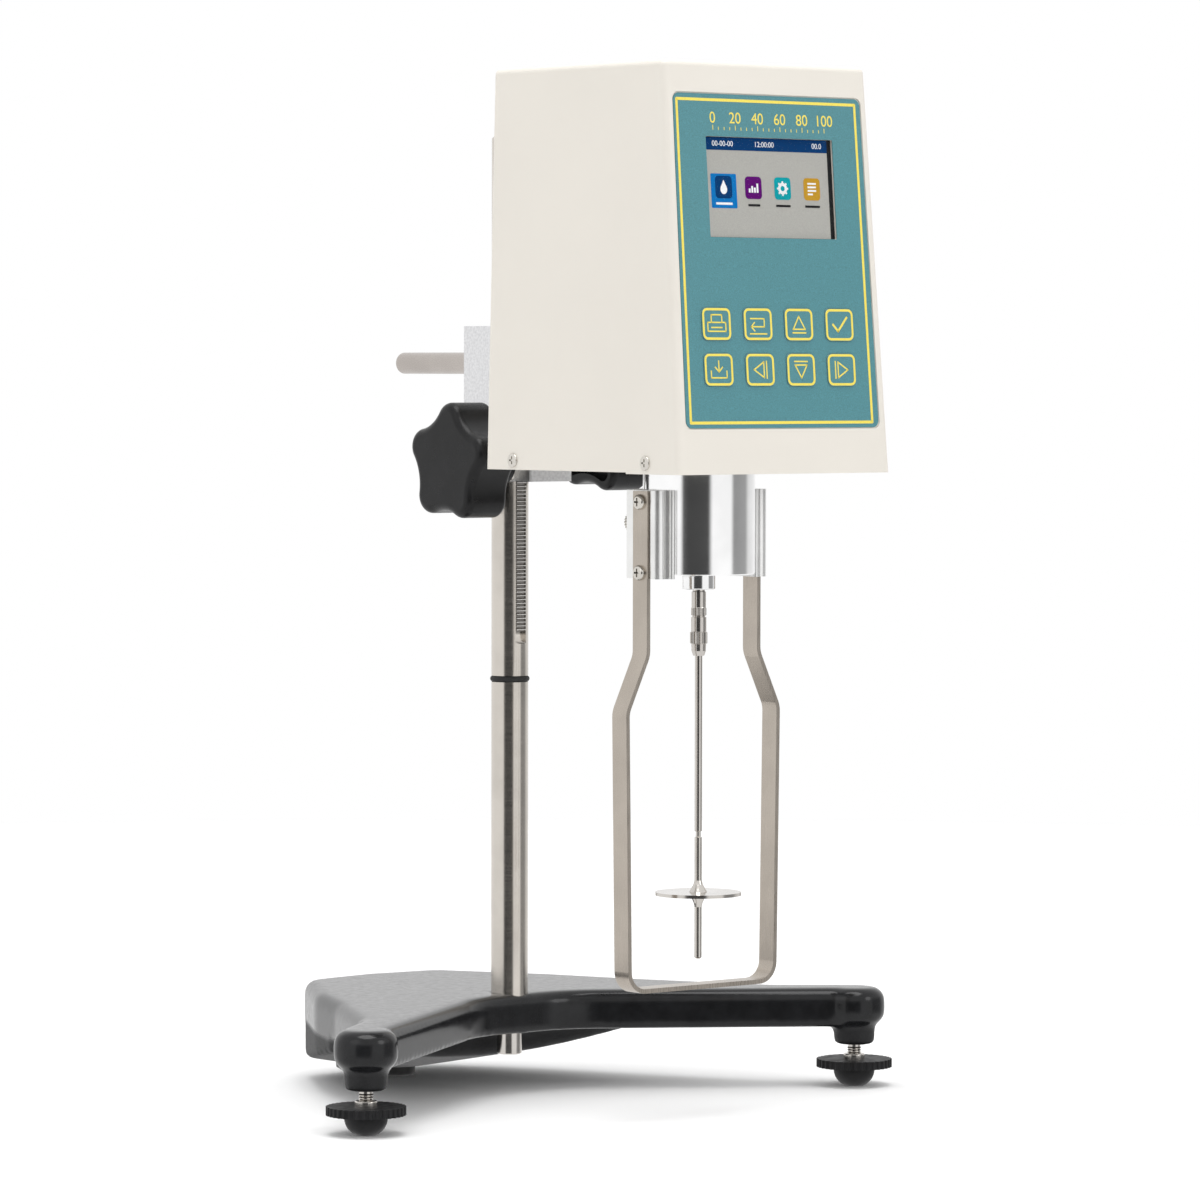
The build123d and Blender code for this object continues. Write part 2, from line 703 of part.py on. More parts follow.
def make_lock_knob():
    knob = Pos(LOCK_KNOB_INNER_X, 0, LOCK_Z) * star_knob(LOCK_KNOB_TURN)
    hollow = star_face(
        KNOB_LOBE_R - KNOB_WALL, KNOB_LOBE_CENTRE_R, KNOB_VALLEY_R - KNOB_WALL, LOCK_KNOB_TURN
    )
    hollow = Pos(LOCK_KNOB_INNER_X - 1, 0, LOCK_Z) * extrude(
        Plane.YZ * hollow, KNOB_HOLLOW_DEPTH + 1
    )
    knob -= hollow
    knob += bar_x(LOCK_HUB_R, LOCK_HUB_X, LOCK_KNOB_INNER_X + KNOB_HOLLOW_DEPTH, 0, LOCK_Z)
    stud_end = LOCK_KNOB_INNER_X + KNOB_HOLLOW_DEPTH
    return knob - bar_x(LOCK_STUD_R, LOCK_HUB_X - 1, stud_end, 0, LOCK_Z)


def make_lock_stud():
    start = POST_R + GAP
    stud_end = LOCK_KNOB_INNER_X + KNOB_HOLLOW_DEPTH
    stud = bar_x(LOCK_STUD_R, start, stud_end, 0, LOCK_Z)
    return chamfer(stud.edges().group_by(Axis.X)[0], 0.6)


def make_head_rod():
    start = HEAD_REAR_Y - ROD_IN_SOCKET + ROD_SOCKET_DEPTH
    rod = bar_y(ROD_R, start, ROD_END_Y, ROD_X, ROD_Z)
    return fillet(rod.edges().group_by(Axis.Y)[-1], ROD_END_R)


def make_rod_clamp_screw():
    top = BLOCK_TOP - 1.0
    screw = post_z(GRUB_R, ROD_Z + ROD_R + GAP, top, ROD_X, 0)
    drive = Pos(ROD_X, 0, top - 2) * extrude(RegularPolygon(1.3, 6), 3)
    return screw - drive


# ---- head housing ---------------------------------------------------------------------


def head_form(inset, bottom, top):
    """Drafted block of the head, inset by a wall and cut between two heights."""
    flank = []
    front_view = []
    for z, order in ((bottom, 1), (top, -1)):
        rise = z - HEAD_BOTTOM
        half = HEAD_HALF_X - SIDE_DRAFT * rise - inset
        front = HEAD_FRONT_Y + LEAN * rise + inset * math.sqrt(1 + LEAN**2)
        rear = HEAD_REAR_Y - REAR_DRAFT * rise - inset
        flank += [(front, z), (rear, z)][::order]
        front_view += [(-half, z), (half, z)][::order]
    side_face = make_face(Polyline(*flank, close=True).edges())
    front_face = make_face(Polyline(*front_view, close=True).edges())
    length = extrude(Plane.YZ * side_face, HEAD_HALF_X + 1, both=True)
    width = extrude(Plane.XZ * front_face, -HEAD_FRONT_Y + 5, both=True)
    return length & width


def label_outline(grow):
    """Panel outline that follows the draft of the head, grown or shrunk evenly."""
    top = LABEL_TOP + grow
    bottom = LABEL_BOTTOM - grow
    high = LABEL_HALF_TOP + grow
    low = LABEL_HALF_BOTTOM + grow
    face = make_face(
        Polyline((-low, bottom), (low, bottom), (high, top), (-high, top), close=True).edges()
    )
    return fillet(face.vertices(), LABEL_CORNER_R)


def key_places():
    """Centres of the keys on the front face, row by row from the top left."""
    places = []
    for row in range(KEY_ROWS):
        v = KEY_ROW_V + KEY_PITCH_V * (KEY_ROWS - 1 - row)
        for column in range(KEY_COLUMNS):
            u = KEY_CENTRE_X + KEY_PITCH_X * (column - (KEY_COLUMNS - 1) / 2)
            places.append((u, v))
    return places


def rear_y(z):
    """The rear wall's outer face at a height."""
    return HEAD_REAR_Y - REAR_DRAFT * (z - HEAD_BOTTOM)


def make_housing_cover():
    outer = head_form(0, HEAD_BOTTOM, HEAD_TOP)
    upright = outer.edges().filter_by(lambda e: abs((e @ 1 - e @ 0).Z) > WALL * 10)
    outer = fillet(upright, HEAD_EDGE_R)
    outer = fillet(outer.edges().group_by(Axis.Z)[-1], HEAD_TOP_EDGE_R)
    cover = outer - head_form(WALL, HEAD_BOTTOM - 1, HEAD_TOP - WALL)
    relief_half = HEAD_HALF_X + 1
    cover -= box(
        -relief_half, relief_half, LIP_REAR_Y, 0, HEAD_BOTTOM - 1, HEAD_BOTTOM + LIP_RELIEF
    )
    recess = extrude(label_outline(0), LABEL_RECESS + 5)
    cover -= on_front(0, 0, recess, -LABEL_RECESS)
    window = front_plate(
        WINDOW_RIGHT - WINDOW_LEFT, WINDOW_TOP - WINDOW_BOTTOM, 0.5, -WALL * 3, 1
    )
    cover -= on_front((WINDOW_LEFT + WINDOW_RIGHT) / 2, (WINDOW_TOP + WINDOW_BOTTOM) / 2, window)
    for u, v in key_places():
        stem_hole = Pos(0, 0, -WALL * 3) * Cylinder(
            KEY_STEM_R + GAP, WALL * 4, align=(Align.CENTER, Align.CENTER, Align.MIN)
        )
        cover -= on_front(u, v, stem_hole)
    for y in SIDE_SCREW_YS:
        cover -= bar_x(SIDE_SCREW_R + RUN, -HEAD_HALF_X - 1, HEAD_HALF_X + 1, y, SIDE_SCREW_Z)
    cover -= bar_y(ROD_R + RUN + 1, HEAD_REAR_Y - 10, 0, ROD_X, ROD_Z)
    half_w = SWITCH_WIDTH / 2
    half_h = SWITCH_HEIGHT / 2
    wall_in = HEAD_REAR_Y - 10
    cover -= box(
        SWITCH_X - half_w, SWITCH_X + half_w, wall_in, 0, SWITCH_Z - half_h, SWITCH_Z + half_h
    )
    cover -= bar_y(INLET_R, wall_in, 0, INLET_X, INLET_Z)
    cover -= box(
        DATA_X - DATA_WIDTH / 2 + 6,
        DATA_X + DATA_WIDTH / 2 - 6,
        wall_in,
        0,
        DATA_Z - DATA_HEIGHT / 2 + 1.5,
        DATA_Z + DATA_HEIGHT / 2 - 1.5,
    )
    cover -= bar_y(PROBE_R, wall_in, 0, PROBE_X, PROBE_Z)
    cover -= post_z(LEVEL_R, HEAD_TOP - WALL - 1, HEAD_TOP + 1, 0, LEVEL_Y)
    return cover


def make_chassis_plate():
    plate = head_form(WALL + SEAT, CHASSIS_BOTTOM, CHASSIS_TOP)
    plate -= post_z(NOSE_SPIGOT_R + RUN, 0, HEAD_TOP, 0, NOSE_Y)
    for y in SIDE_SCREW_YS:
        for side in (1, -1):
            start = side * (HEAD_HALF_X + 1)
            stop = side * (HEAD_HALF_X - SIDE_SCREW_LENGTH)
            low, high = min(start, stop), max(start, stop)
            plate -= bar_x(SIDE_SCREW_R + RUN, low, high, y, SIDE_SCREW_Z)
    return plate


def cross_recess(size, depth):
    """Cross slot cut from a screw head, along +Z from the face down."""
    slot = Box(size, size * 0.22, depth, align=(Align.CENTER, Align.CENTER, Align.MAX))
    return slot + Rot(0, 0, 90) * slot


def pan_screw(head_r, head, shank_r, shank):
    """Pan-head screw along +Z: head above the seat, shank below it."""
    dome = post_z(head_r, 0, head)
    dome = fillet(dome.edges().group_by(Axis.Z)[-1], head * 0.7)
    dome -= Pos(0, 0, head) * cross_recess(head_r * 1.1, head * 0.6)
    return dome + post_z(shank_r, -shank, 0)


def make_cover_screws():
    screws = []
    rise = SIDE_SCREW_Z - SIDE_SCREW_HEAD_R - HEAD_BOTTOM
    face_x = HEAD_HALF_X - SIDE_DRAFT * rise
    screw = pan_screw(SIDE_SCREW_HEAD_R, SIDE_SCREW_HEAD, SIDE_SCREW_R, SIDE_SCREW_LENGTH - 1)
    for y in SIDE_SCREW_YS:
        screws.append(Pos(face_x, y, SIDE_SCREW_Z) * Rot(0, 90, 0) * screw)
        screws.append(Pos(-face_x, y, SIDE_SCREW_Z) * Rot(0, -90, 0) * screw)
    return screws


def make_label_panel():
    panel = Pos(0, 0, PANEL_FLOOR) * extrude(label_outline(-LABEL_MARGIN), LABEL_THICK)
    window = front_plate(
        WINDOW_RIGHT - WINDOW_LEFT, WINDOW_TOP - WINDOW_BOTTOM, 0.5, PANEL_FLOOR - 1, 1
    )
    panel -= Pos((WINDOW_LEFT + WINDOW_RIGHT) / 2, (WINDOW_TOP + WINDOW_BOTTOM) / 2) * window
    for u, v in key_places():
        hole = front_plate(
            KEY_WIDTH + 2 * SEAT, KEY_HEIGHT + 2 * SEAT, KEY_CORNER_R, PANEL_FLOOR - 1, 1
        )
        panel -= Pos(u, v) * hole
    return FRONT * panel


def make_display_window():
    width = WINDOW_RIGHT - WINDOW_LEFT - 2 * SEAT
    height = WINDOW_TOP - WINDOW_BOTTOM - 2 * SEAT
    pane = front_plate(width, height, 0.5, PANEL_FACE - WINDOW_THICK, PANEL_FACE)
    return on_front((WINDOW_LEFT + WINDOW_RIGHT) / 2, (WINDOW_TOP + WINDOW_BOTTOM) / 2, pane)


def make_display_module():
    middle_u = (WINDOW_LEFT + WINDOW_RIGHT) / 2
    middle_v = (WINDOW_TOP + WINDOW_BOTTOM) / 2
    width = WINDOW_RIGHT - WINDOW_LEFT
    height = WINDOW_TOP - WINDOW_BOTTOM
    glass_back = PANEL_FACE - WINDOW_THICK
    back = HOUSING_INSIDE - SEAT
    module = front_plate(width - 2 * SEAT, height - 2 * SEAT, 0.5, back, glass_back)
    module += front_plate(
        width + 2 * DISPLAY_BORDER,
        height + 2 * DISPLAY_BORDER,
        1.0,
        back - DISPLAY_THICK,
        back,
    )
    return on_front(middle_u, middle_v, module)


def make_key(u, v):
    """Pillow key with a stem that reaches the switch behind the front wall."""
    cap = front_plate(KEY_WIDTH, KEY_HEIGHT, KEY_CORNER_R, KEY_FLOOR, PANEL_FACE + KEY_PROUD)
    cap = fillet(cap.edges().group_by(Axis.Z)[-1], KEY_PROUD * 0.8)
    stem = Pos(0, 0, KEY_STEM_END) * Cylinder(
        KEY_STEM_R, KEY_FLOOR - KEY_STEM_END, align=(Align.CENTER, Align.CENTER, Align.MIN)
    )
    return on_front(u, v, cap + stem)


def make_key_board():
    width = KEY_PITCH_X * (KEY_COLUMNS - 1) + KEY_WIDTH + KEY_BOARD_MARGIN
    height = KEY_PITCH_V * (KEY_ROWS - 1) + KEY_HEIGHT + KEY_BOARD_MARGIN
    top = -KEY_BOARD_DEPTH
    board = front_plate(width, height, 1.0, top - BOARD_THICK, top)
    middle_v = KEY_ROW_V + KEY_PITCH_V * (KEY_ROWS - 1) / 2
    board = Pos(KEY_CENTRE_X, middle_v) * board
    for u, v in key_places():
        switch = Pos(u, v, top) * Cylinder(
            SWITCH_R, KEY_SWITCH_TOP - top, align=(Align.CENTER, Align.CENTER, Align.MIN)
        )
        board += switch
    for side in (1, -1):
        for row in (-1, 1):
            u = KEY_CENTRE_X + side * (width / 2 - STANDOFF_INSET)
            v = middle_v + row * (height / 2 - STANDOFF_INSET)
            board += Pos(u, v, top) * Cylinder(
                STANDOFF_R, HOUSING_INSIDE - top, align=(Align.CENTER, Align.CENTER, Align.MIN)
            )
    return FRONT * board


KEY_FLOOR = PANEL_FLOOR + KEY_TRAVEL + 0.05
KEY_STEM_END = -KEY_BOARD_DEPTH + 2.0
KEY_SWITCH_TOP = KEY_STEM_END - KEY_TRAVEL - 0.1

# ---- works inside the head ------------------------------------------------------------


def make_nose_sleeve():
    sleeve = post_z(NOSE_R, NOSE_BOTTOM, CHASSIS_BOTTOM, 0, NOSE_Y)
    sleeve = chamfer(sleeve.edges().group_by(Axis.Z)[0], 0.4)
    sleeve += post_z(NOSE_SPIGOT_R, CHASSIS_BOTTOM, CHASSIS_TOP, 0, NOSE_Y)
    floor = NOSE_BOTTOM + NOSE_FLOOR
    sleeve -= post_z(NOSE_BORE_R, floor, CHASSIS_TOP + 1, 0, NOSE_Y)
    return sleeve - post_z(NOSE_COLLAR_R - 2, 0, floor + 1, 0, NOSE_Y)


def make_nose_collar():
    collar = post_z(NOSE_COLLAR_R, NOSE_COLLAR_BOTTOM, NOSE_BOTTOM, 0, NOSE_Y)
    collar = fillet(collar.edges().group_by(Axis.Z)[0], 0.5)
    collar += post_z(NOSE_COLLAR_R - 2, NOSE_BOTTOM, NOSE_BOTTOM + NOSE_FLOOR, 0, NOSE_Y)
    return collar - post_z(NOSE_COLLAR_BORE_R, 0, NOSE_BOTTOM + 5, 0, NOSE_Y)


def make_coupling():
    """Screw-on spindle coupling with two knurled rings and a tapered mouth."""
    rings = [
        (2.5, NOSE_COLLAR_BOTTOM + 4),
        (2.5, 214.0),
        (2.9, 213.8),
        (2.9, 207.6),
        (2.95, 207.4),
        (2.95, 204.3),
        (2.6, 204.1),
        (2.6, 203.8),
        (3.1, 203.6),
        (3.1, 197.8),
        (3.35, 197.6),
        (3.35, 193.0),
        (3.0, 192.8),
        (2.9, 190.0),
        (2.25, COUPLING_BOTTOM),
        (SHAFT_R, COUPLING_BOTTOM),
        (SHAFT_R, COUPLING_BOTTOM + COUPLING_BORE_DEPTH),
        (0, COUPLING_BOTTOM + COUPLING_BORE_DEPTH),
        (0, NOSE_COLLAR_BOTTOM + 4),
    ]
    return turned(rings, 0, NOSE_Y)


def make_spindle():
    top = COUPLING_BOTTOM + COUPLING_BORE_DEPTH
    low_disc = DISC_TOP - DISC_THICK
    points = [
        (0, top),
        (SHAFT_R, top),
        (SHAFT_R, GROOVE_Z[1] + 0.3),
        (GROOVE_R, GROOVE_Z[1]),
        (GROOVE_R, GROOVE_Z[0]),
        (SHAFT_R, GROOVE_Z[0] - 0.3),
        (SHAFT_R, CONE_TOP + 0.6),
        (SHAFT_R + 0.4, CONE_TOP - 1.0),
        (CONE_R, DISC_TOP),
        (DISC_R, DISC_TOP),
        (DISC_R, low_disc),
        (CONE_R - 0.5, low_disc),
        (SHAFT_R + 0.3, CONE_BOTTOM + 1.0),
        (SHAFT_R, CONE_BOTTOM - 0.6),
        (SHAFT_R, SPINDLE_TIP + 0.5),
        (SHAFT_R - 0.5, SPINDLE_TIP),
        (0, SPINDLE_TIP),
    ]
    return turned(points, 0, NOSE_Y)


def make_pivot_shaft():
    """Measuring shaft: rises from the coupling through the jewel to the code disc."""
    start = NOSE_COLLAR_BOTTOM + 4
    shaft = post_z(MEASURING_SHAFT_R, start, PIVOT_TOP, 0, NOSE_Y)
    disc = post_z(DRIVE_DISC_R, CODE_DISC_Z, CODE_DISC_Z + CODE_DISC_THICK, 0, NOSE_Y)
    for step in range(CODE_HOLES):
        turn = Rot(0, 0, 360 / CODE_HOLES * step)
        hole = turn * Pos(CODE_HOLE_PITCH_R, 0, 0) * Cylinder(CODE_HOLE_R, 4 * CODE_DISC_THICK)
        disc -= Pos(0, NOSE_Y, CODE_DISC_Z) * hole
    return shaft + disc


def make_jewel_bearing():
    flange = post_z(NOSE_BORE_R + 4, CHASSIS_TOP, JEWEL_Z + 2, 0, NOSE_Y)
    flange += post_z(NOSE_BORE_R - SEAT, CHASSIS_TOP - 6, CHASSIS_TOP, 0, NOSE_Y)
    return flange - post_z(MEASURING_SHAFT_R + RUN, 0, HEAD_TOP, 0, NOSE_Y)


def make_torsion_spring():
    """Flat hairspring on the measuring shaft: its turns are drawn as rings on one arm."""
    low = CODE_DISC_Z + CODE_DISC_THICK + SPRING_ABOVE_DISC
    high = low + SPRING_HEIGHT
    last = SPRING_R + SPRING_STEP * (SPRING_TURNS - 1) + SPRING_THICK
    spring = box(MEASURING_SHAFT_R, last - 0.1, -SPRING_THICK, SPRING_THICK, low, high)
    for turn in range(SPRING_TURNS):
        radius = SPRING_R + SPRING_STEP * turn
        spring += post_z(radius + SPRING_THICK, low, high) - post_z(radius, low - 1, high + 1)
    return Pos(0, NOSE_Y, 0) * spring


def make_drive_disc():
    disc = post_z(DRIVE_DISC_R, DRIVE_DISC_Z, DRIVE_DISC_Z + DRIVE_DISC_THICK, 0, NOSE_Y)
    disc += post_z(DRIVE_HUB_R, DRIVE_DISC_Z - DRIVE_HUB, DRIVE_DISC_Z, 0, NOSE_Y)
    shaft_top = MOTOR_PLATE_Z + MOTOR_PLATE_THICK + DRIVE_SHAFT_IN_MOTOR
    disc += post_z(DRIVE_SHAFT_R, DRIVE_DISC_Z, shaft_top, 0, NOSE_Y)
    return disc - post_z(MEASURING_SHAFT_R + GAP, 0, PIVOT_TOP + GAP, 0, NOSE_Y)


def pillar_places():
    return [(sx * PILLAR_X, NOSE_Y + sy * PILLAR_Y) for sx in (1, -1) for sy in (1, -1)]


def make_pillars():
    return [post_z(PILLAR_R, CHASSIS_TOP, MOTOR_PLATE_Z, x, y) for x, y in pillar_places()]


def make_motor_plate():
    x = PILLAR_X + PILLAR_R + 2
    y = PILLAR_Y + PILLAR_R + 2
    high = MOTOR_PLATE_Z + MOTOR_PLATE_THICK
    plate = box(-x, x, NOSE_Y - y, NOSE_Y + y, MOTOR_PLATE_Z, high)
    plate = fillet(plate.edges().filter_by(Axis.Z), 4)
    return plate - post_z(DRIVE_SHAFT_R + 2, 0, HEAD_TOP, 0, NOSE_Y)


def make_motor():
    low = MOTOR_PLATE_Z + MOTOR_PLATE_THICK
    can = post_z(MOTOR_R, low, low + MOTOR_LENGTH, 0, NOSE_Y)
    can = fillet(can.edges().group_by(Axis.Z)[-1], 2)
    can += post_z(DRIVE_SHAFT_R + 5, low + MOTOR_LENGTH, low + MOTOR_LENGTH + 3, 0, NOSE_Y)
    return can - post_z(DRIVE_SHAFT_R + RUN, 0, low + DRIVE_SHAFT_IN_MOTOR + GAP, 0, NOSE_Y)


def make_code_sensor():
    """Slotted optical gates that read the two discs, on one stalk."""
    x = -DRIVE_DISC_R - GATE_GAP
    front = NOSE_Y - GATE_HALF_WIDTH
    rear = NOSE_Y + GATE_HALF_WIDTH
    stalk = box(x - GATE_DEPTH, x, front, rear, CHASSIS_TOP, DRIVE_DISC_Z + GATE_ABOVE)
    for z, thick in ((CODE_DISC_Z, CODE_DISC_THICK), (DRIVE_DISC_Z, DRIVE_DISC_THICK)):
        for low in (z - GATE_AIR - GATE_THICK, z + thick + GATE_AIR):
            stalk += box(x, x + GATE_REACH, front + 1, rear - 1, low, low + GATE_THICK)
    return stalk


def make_main_board():
    y = HEAD_REAR_Y - MAIN_BOARD_SETBACK
    back = y - BOARD_THICK
    half = MAIN_BOARD_HALF_X
    low = CHASSIS_TOP + MAIN_BOARD_FOOT
    board = box(-half, half, back, y, low, low + MAIN_BOARD_HEIGHT)
    for x, up, width, height, proud in MAIN_BOARD_PARTS:
        z = CHASSIS_TOP + up
        board += box(x, x + width, y, y + proud, z, z + height)
    for x in (-MAIN_BOARD_LUG_X, MAIN_BOARD_LUG_X):
        half_lug = MAIN_BOARD_LUG / 2
        board += box(x - half_lug, x + half_lug, back, y + MAIN_BOARD_FOOT, CHASSIS_TOP, low + 1)
    return board


# ---- rear panel and top ---------------------------------------------------------------


def against_rear(shape):
    """Trim what stands outside the rear wall so that it seats on the drafted face."""
    return shape - head_form(0, HEAD_BOTTOM - 1, HEAD_TOP)


def make_rod_socket():
    low = rear_y(ROD_Z + ROD_SOCKET_R) - 2
    rear = HEAD_REAR_Y + ROD_SOCKET_DEPTH
    inside = HEAD_REAR_Y - ROD_SOCKET_INSIDE
    half = ROD_SOCKET_PLATE
    socket = against_rear(bar_y(ROD_SOCKET_R, low, HEAD_REAR_Y + ROD_SOCKET_DISC, ROD_X, ROD_Z))
    socket += against_rear(bar_y(ROD_R + ROD_SOCKET_SLEEVE, low, rear, ROD_X, ROD_Z))
    inner = box(ROD_X - half, ROD_X + half, inside, HEAD_REAR_Y, ROD_Z - half, ROD_Z + half)
    inner &= head_form(WALL + SEAT, HEAD_BOTTOM, HEAD_TOP)
    stem = bar_y(ROD_R + 1, inside, HEAD_REAR_Y + 1, ROD_X, ROD_Z)
    bore_start = HEAD_REAR_Y - ROD_IN_SOCKET + ROD_SOCKET_DEPTH - GAP
    socket = socket + inner + stem
    return socket - bar_y(ROD_R + RUN, bore_start, 0, ROD_X, ROD_Z)


def make_switch_frame():
    half_w = SWITCH_WIDTH / 2
    half_h = SWITCH_HEIGHT / 2
    inside = rear_y(SWITCH_Z) - SWITCH_DEPTH
    face = HEAD_REAR_Y + SWITCH_PROUD
    frame = box(
        SWITCH_X - half_w + SEAT,
        SWITCH_X + half_w - SEAT,
        inside,
        face,
        SWITCH_Z - half_h + SEAT,
        SWITCH_Z + half_h - SEAT,
    )
    bezel = against_rear(
        box(
            SWITCH_X - half_w - SWITCH_BEZEL,
            SWITCH_X + half_w + SWITCH_BEZEL,
            HEAD_REAR_Y - 4,
            face,
            SWITCH_Z - half_h - SWITCH_BEZEL,
            SWITCH_Z + half_h + SWITCH_BEZEL,
        )
    )
    frame += bezel
    frame -= box(
        SWITCH_X - half_w + SWITCH_WALL,
        SWITCH_X + half_w - SWITCH_WALL,
        rear_y(SWITCH_Z) - SWITCH_CAVITY,
        0,
        SWITCH_Z - half_h + SWITCH_WALL,
        SWITCH_Z + half_h - SWITCH_WALL,
    )
    pivot_y = rear_y(SWITCH_Z) - ROCKER_PIVOT_DEPTH
    low, high = SWITCH_X - half_w, SWITCH_X + half_w
    return frame - bar_x(ROCKER_PIVOT_R + RUN, low, high, pivot_y, SWITCH_Z)


def make_switch_rocker():
    half_w = SWITCH_WIDTH / 2 - SWITCH_WALL - GAP
    half_h = SWITCH_HEIGHT / 2 - SWITCH_WALL - GAP
    pivot_y = rear_y(SWITCH_Z) - ROCKER_PIVOT_DEPTH
    tip = HEAD_REAR_Y + 0.6
    with BuildSketch(Plane.YZ) as profile:
        with BuildLine():
            Polyline(
                (pivot_y - 2.0, SWITCH_Z),
                (pivot_y - 0.5, SWITCH_Z - half_h + 0.6),
                (tip - 1.2, SWITCH_Z - half_h + 0.3),
                (pivot_y + 2.2, SWITCH_Z),
                (tip + 0.6, SWITCH_Z + half_h - 1.0),
                (pivot_y - 0.5, SWITCH_Z + half_h - 1.0),
                close=True,
            )
        make_face()
    rocker = Pos(SWITCH_X - half_w, 0, 0) * extrude(profile.sketch, 2 * half_w)
    low, high = SWITCH_X - ROCKER_PIVOT_HALF, SWITCH_X + ROCKER_PIVOT_HALF
    return rocker + bar_x(ROCKER_PIVOT_R, low, high, pivot_y, SWITCH_Z)


def make_power_inlet():
    deep = rear_y(INLET_Z) - INLET_DEPTH
    inlet = bar_y(INLET_R - SEAT, deep, HEAD_REAR_Y + 0.5, INLET_X, INLET_Z)
    inlet += against_rear(bar_y(INLET_R + 1.6, HEAD_REAR_Y - 4, HEAD_REAR_Y + 0.5, INLET_X, INLET_Z))
    inlet -= bar_y(INLET_BORE_R, deep + 3, 0, INLET_X, INLET_Z)
    return inlet + bar_y(1.0, deep + 2, HEAD_REAR_Y - 1.5, INLET_X, INLET_Z)


def make_data_socket():
    half_w = DATA_WIDTH / 2
    half_h = DATA_HEIGHT / 2
    plate = against_rear(
        box(
            DATA_X - half_w,
            DATA_X + half_w,
            HEAD_REAR_Y - 4,
            HEAD_REAR_Y + 0.2,
            DATA_Z - half_h,
            DATA_Z + half_h,
        )
    )
    shell = front_shell(DATA_X, DATA_Z, half_w - 7, half_h - 2.2, HEAD_REAR_Y - 8, HEAD_REAR_Y + 5)
    hollow = front_shell(
        DATA_X, DATA_Z, half_w - 7.6, half_h - 2.8, HEAD_REAR_Y - 1, HEAD_REAR_Y + 6
    )
    socket = plate + shell - hollow
    for row, count in ((1.4, 5), (-1.4, 4)):
        for pin in range(count):
            x = DATA_X + (pin - (count - 1) / 2) * 2.77
            socket += bar_y(0.5, HEAD_REAR_Y - 2, HEAD_REAR_Y + 3.5, x, DATA_Z + row)
    for side in (1, -1):
        x = DATA_X + side * DATA_SCREW_HALF
        socket += bar_y(DATA_SCREW_POST_R, HEAD_REAR_Y, HEAD_REAR_Y + 4.5, x, DATA_Z)
        socket -= bar_y(DATA_SCREW_R, HEAD_REAR_Y + 1, HEAD_REAR_Y + 6, x, DATA_Z)
    return socket


def front_shell(x, z, half_w, half_h, y0, y1):
    """D-shaped tube of a data socket, along Y."""
    lean = 0.8
    face = make_face(
        Polyline(
            (x - half_w + lean, z - half_h),
            (x + half_w - lean, z - half_h),
            (x + half_w, z + half_h),
            (x - half_w, z + half_h),
            close=True,
        ).edges()
    )
    face = fillet(face.vertices(), 1.2)
    tube = extrude(Plane.XZ * face, y0 - y1)
    return Pos(0, y0, 0) * tube


def make_probe_socket():
    socket = bar_y(PROBE_R - SEAT, rear_y(PROBE_Z) - 12, HEAD_REAR_Y + 3, PROBE_X, PROBE_Z)
    socket += against_rear(bar_y(PROBE_R + 2, HEAD_REAR_Y - 4, HEAD_REAR_Y + 1.5, PROBE_X, PROBE_Z))
    socket -= bar_y(PROBE_R - 1.6, HEAD_REAR_Y - 5, HEAD_REAR_Y + 4, PROBE_X, PROBE_Z)
    for step in range(4):
        angle = math.radians(45 + 90 * step)
        x = PROBE_X + 2.2 * math.cos(angle)
        z = PROBE_Z + 2.2 * math.sin(angle)
        socket += bar_y(0.5, HEAD_REAR_Y - 6, HEAD_REAR_Y + 1, x, z)
    return socket


def make_level_cup():
    cup = post_z(LEVEL_R - SEAT, HEAD_TOP - LEVEL_DEPTH, HEAD_TOP - 0.1, 0, LEVEL_Y)
    cup += post_z(LEVEL_R + 1.5, HEAD_TOP - LEVEL_DEPTH, HEAD_TOP - WALL - SEAT, 0, LEVEL_Y)
    return cup - post_z(LEVEL_R - LEVEL_RIM, HEAD_TOP - LEVEL_DEPTH + 1, HEAD_TOP, 0, LEVEL_Y)


def make_level_glass():
    radius = LEVEL_R - LEVEL_RIM - 0.02
    glass = post_z(radius, HEAD_TOP - LEVEL_DEPTH + 1, HEAD_TOP - 0.4, 0, LEVEL_Y)
    return fillet(glass.edges().group_by(Axis.Z)[-1], 0.8)


# ---- guard ----------------------------------------------------------------------------


def make_guard_strip():
    """One flat strip bent into a U with a shoulder on each leg."""
    mid = STRIP_OUTER_X - STRIP_THICK / 2
    low_mid = STRIP_LOW_X - STRIP_THICK / 2
    foot_mid = STRIP_FOOT_X - STRIP_THICK / 2
    floor = STRIP_BOTTOM + STRIP_THICK / 2
    right = [
        (mid, STRIP_TOP),
        (mid, STRIP_JOG_TOP),
        (low_mid, STRIP_JOG_BOTTOM),
        (foot_mid, floor),
    ]
    left = [(-x, z) for x, z in reversed(right)]
    path = FilletPolyline(
        *(Vector(x, STRIP_Y, z) for x, z in right + left),
        radius=[STRIP_BEND_R, STRIP_BEND_R, STRIP_CORNER_R] + [
            STRIP_CORNER_R,
            STRIP_BEND_R,
            STRIP_BEND_R,
        ],
    )
    section = Plane(origin=path @ 0, x_dir=(0, 1, 0), z_dir=path % 0) * Rectangle(
        STRIP_WIDTH, STRIP_THICK
    )
    strip = sweep(section, path)
    for z in GUARD_SCREW_ZS:
        strip -= bar_x(GUARD_SCREW_R + RUN, -50, 50, STRIP_Y, z)
    return strip


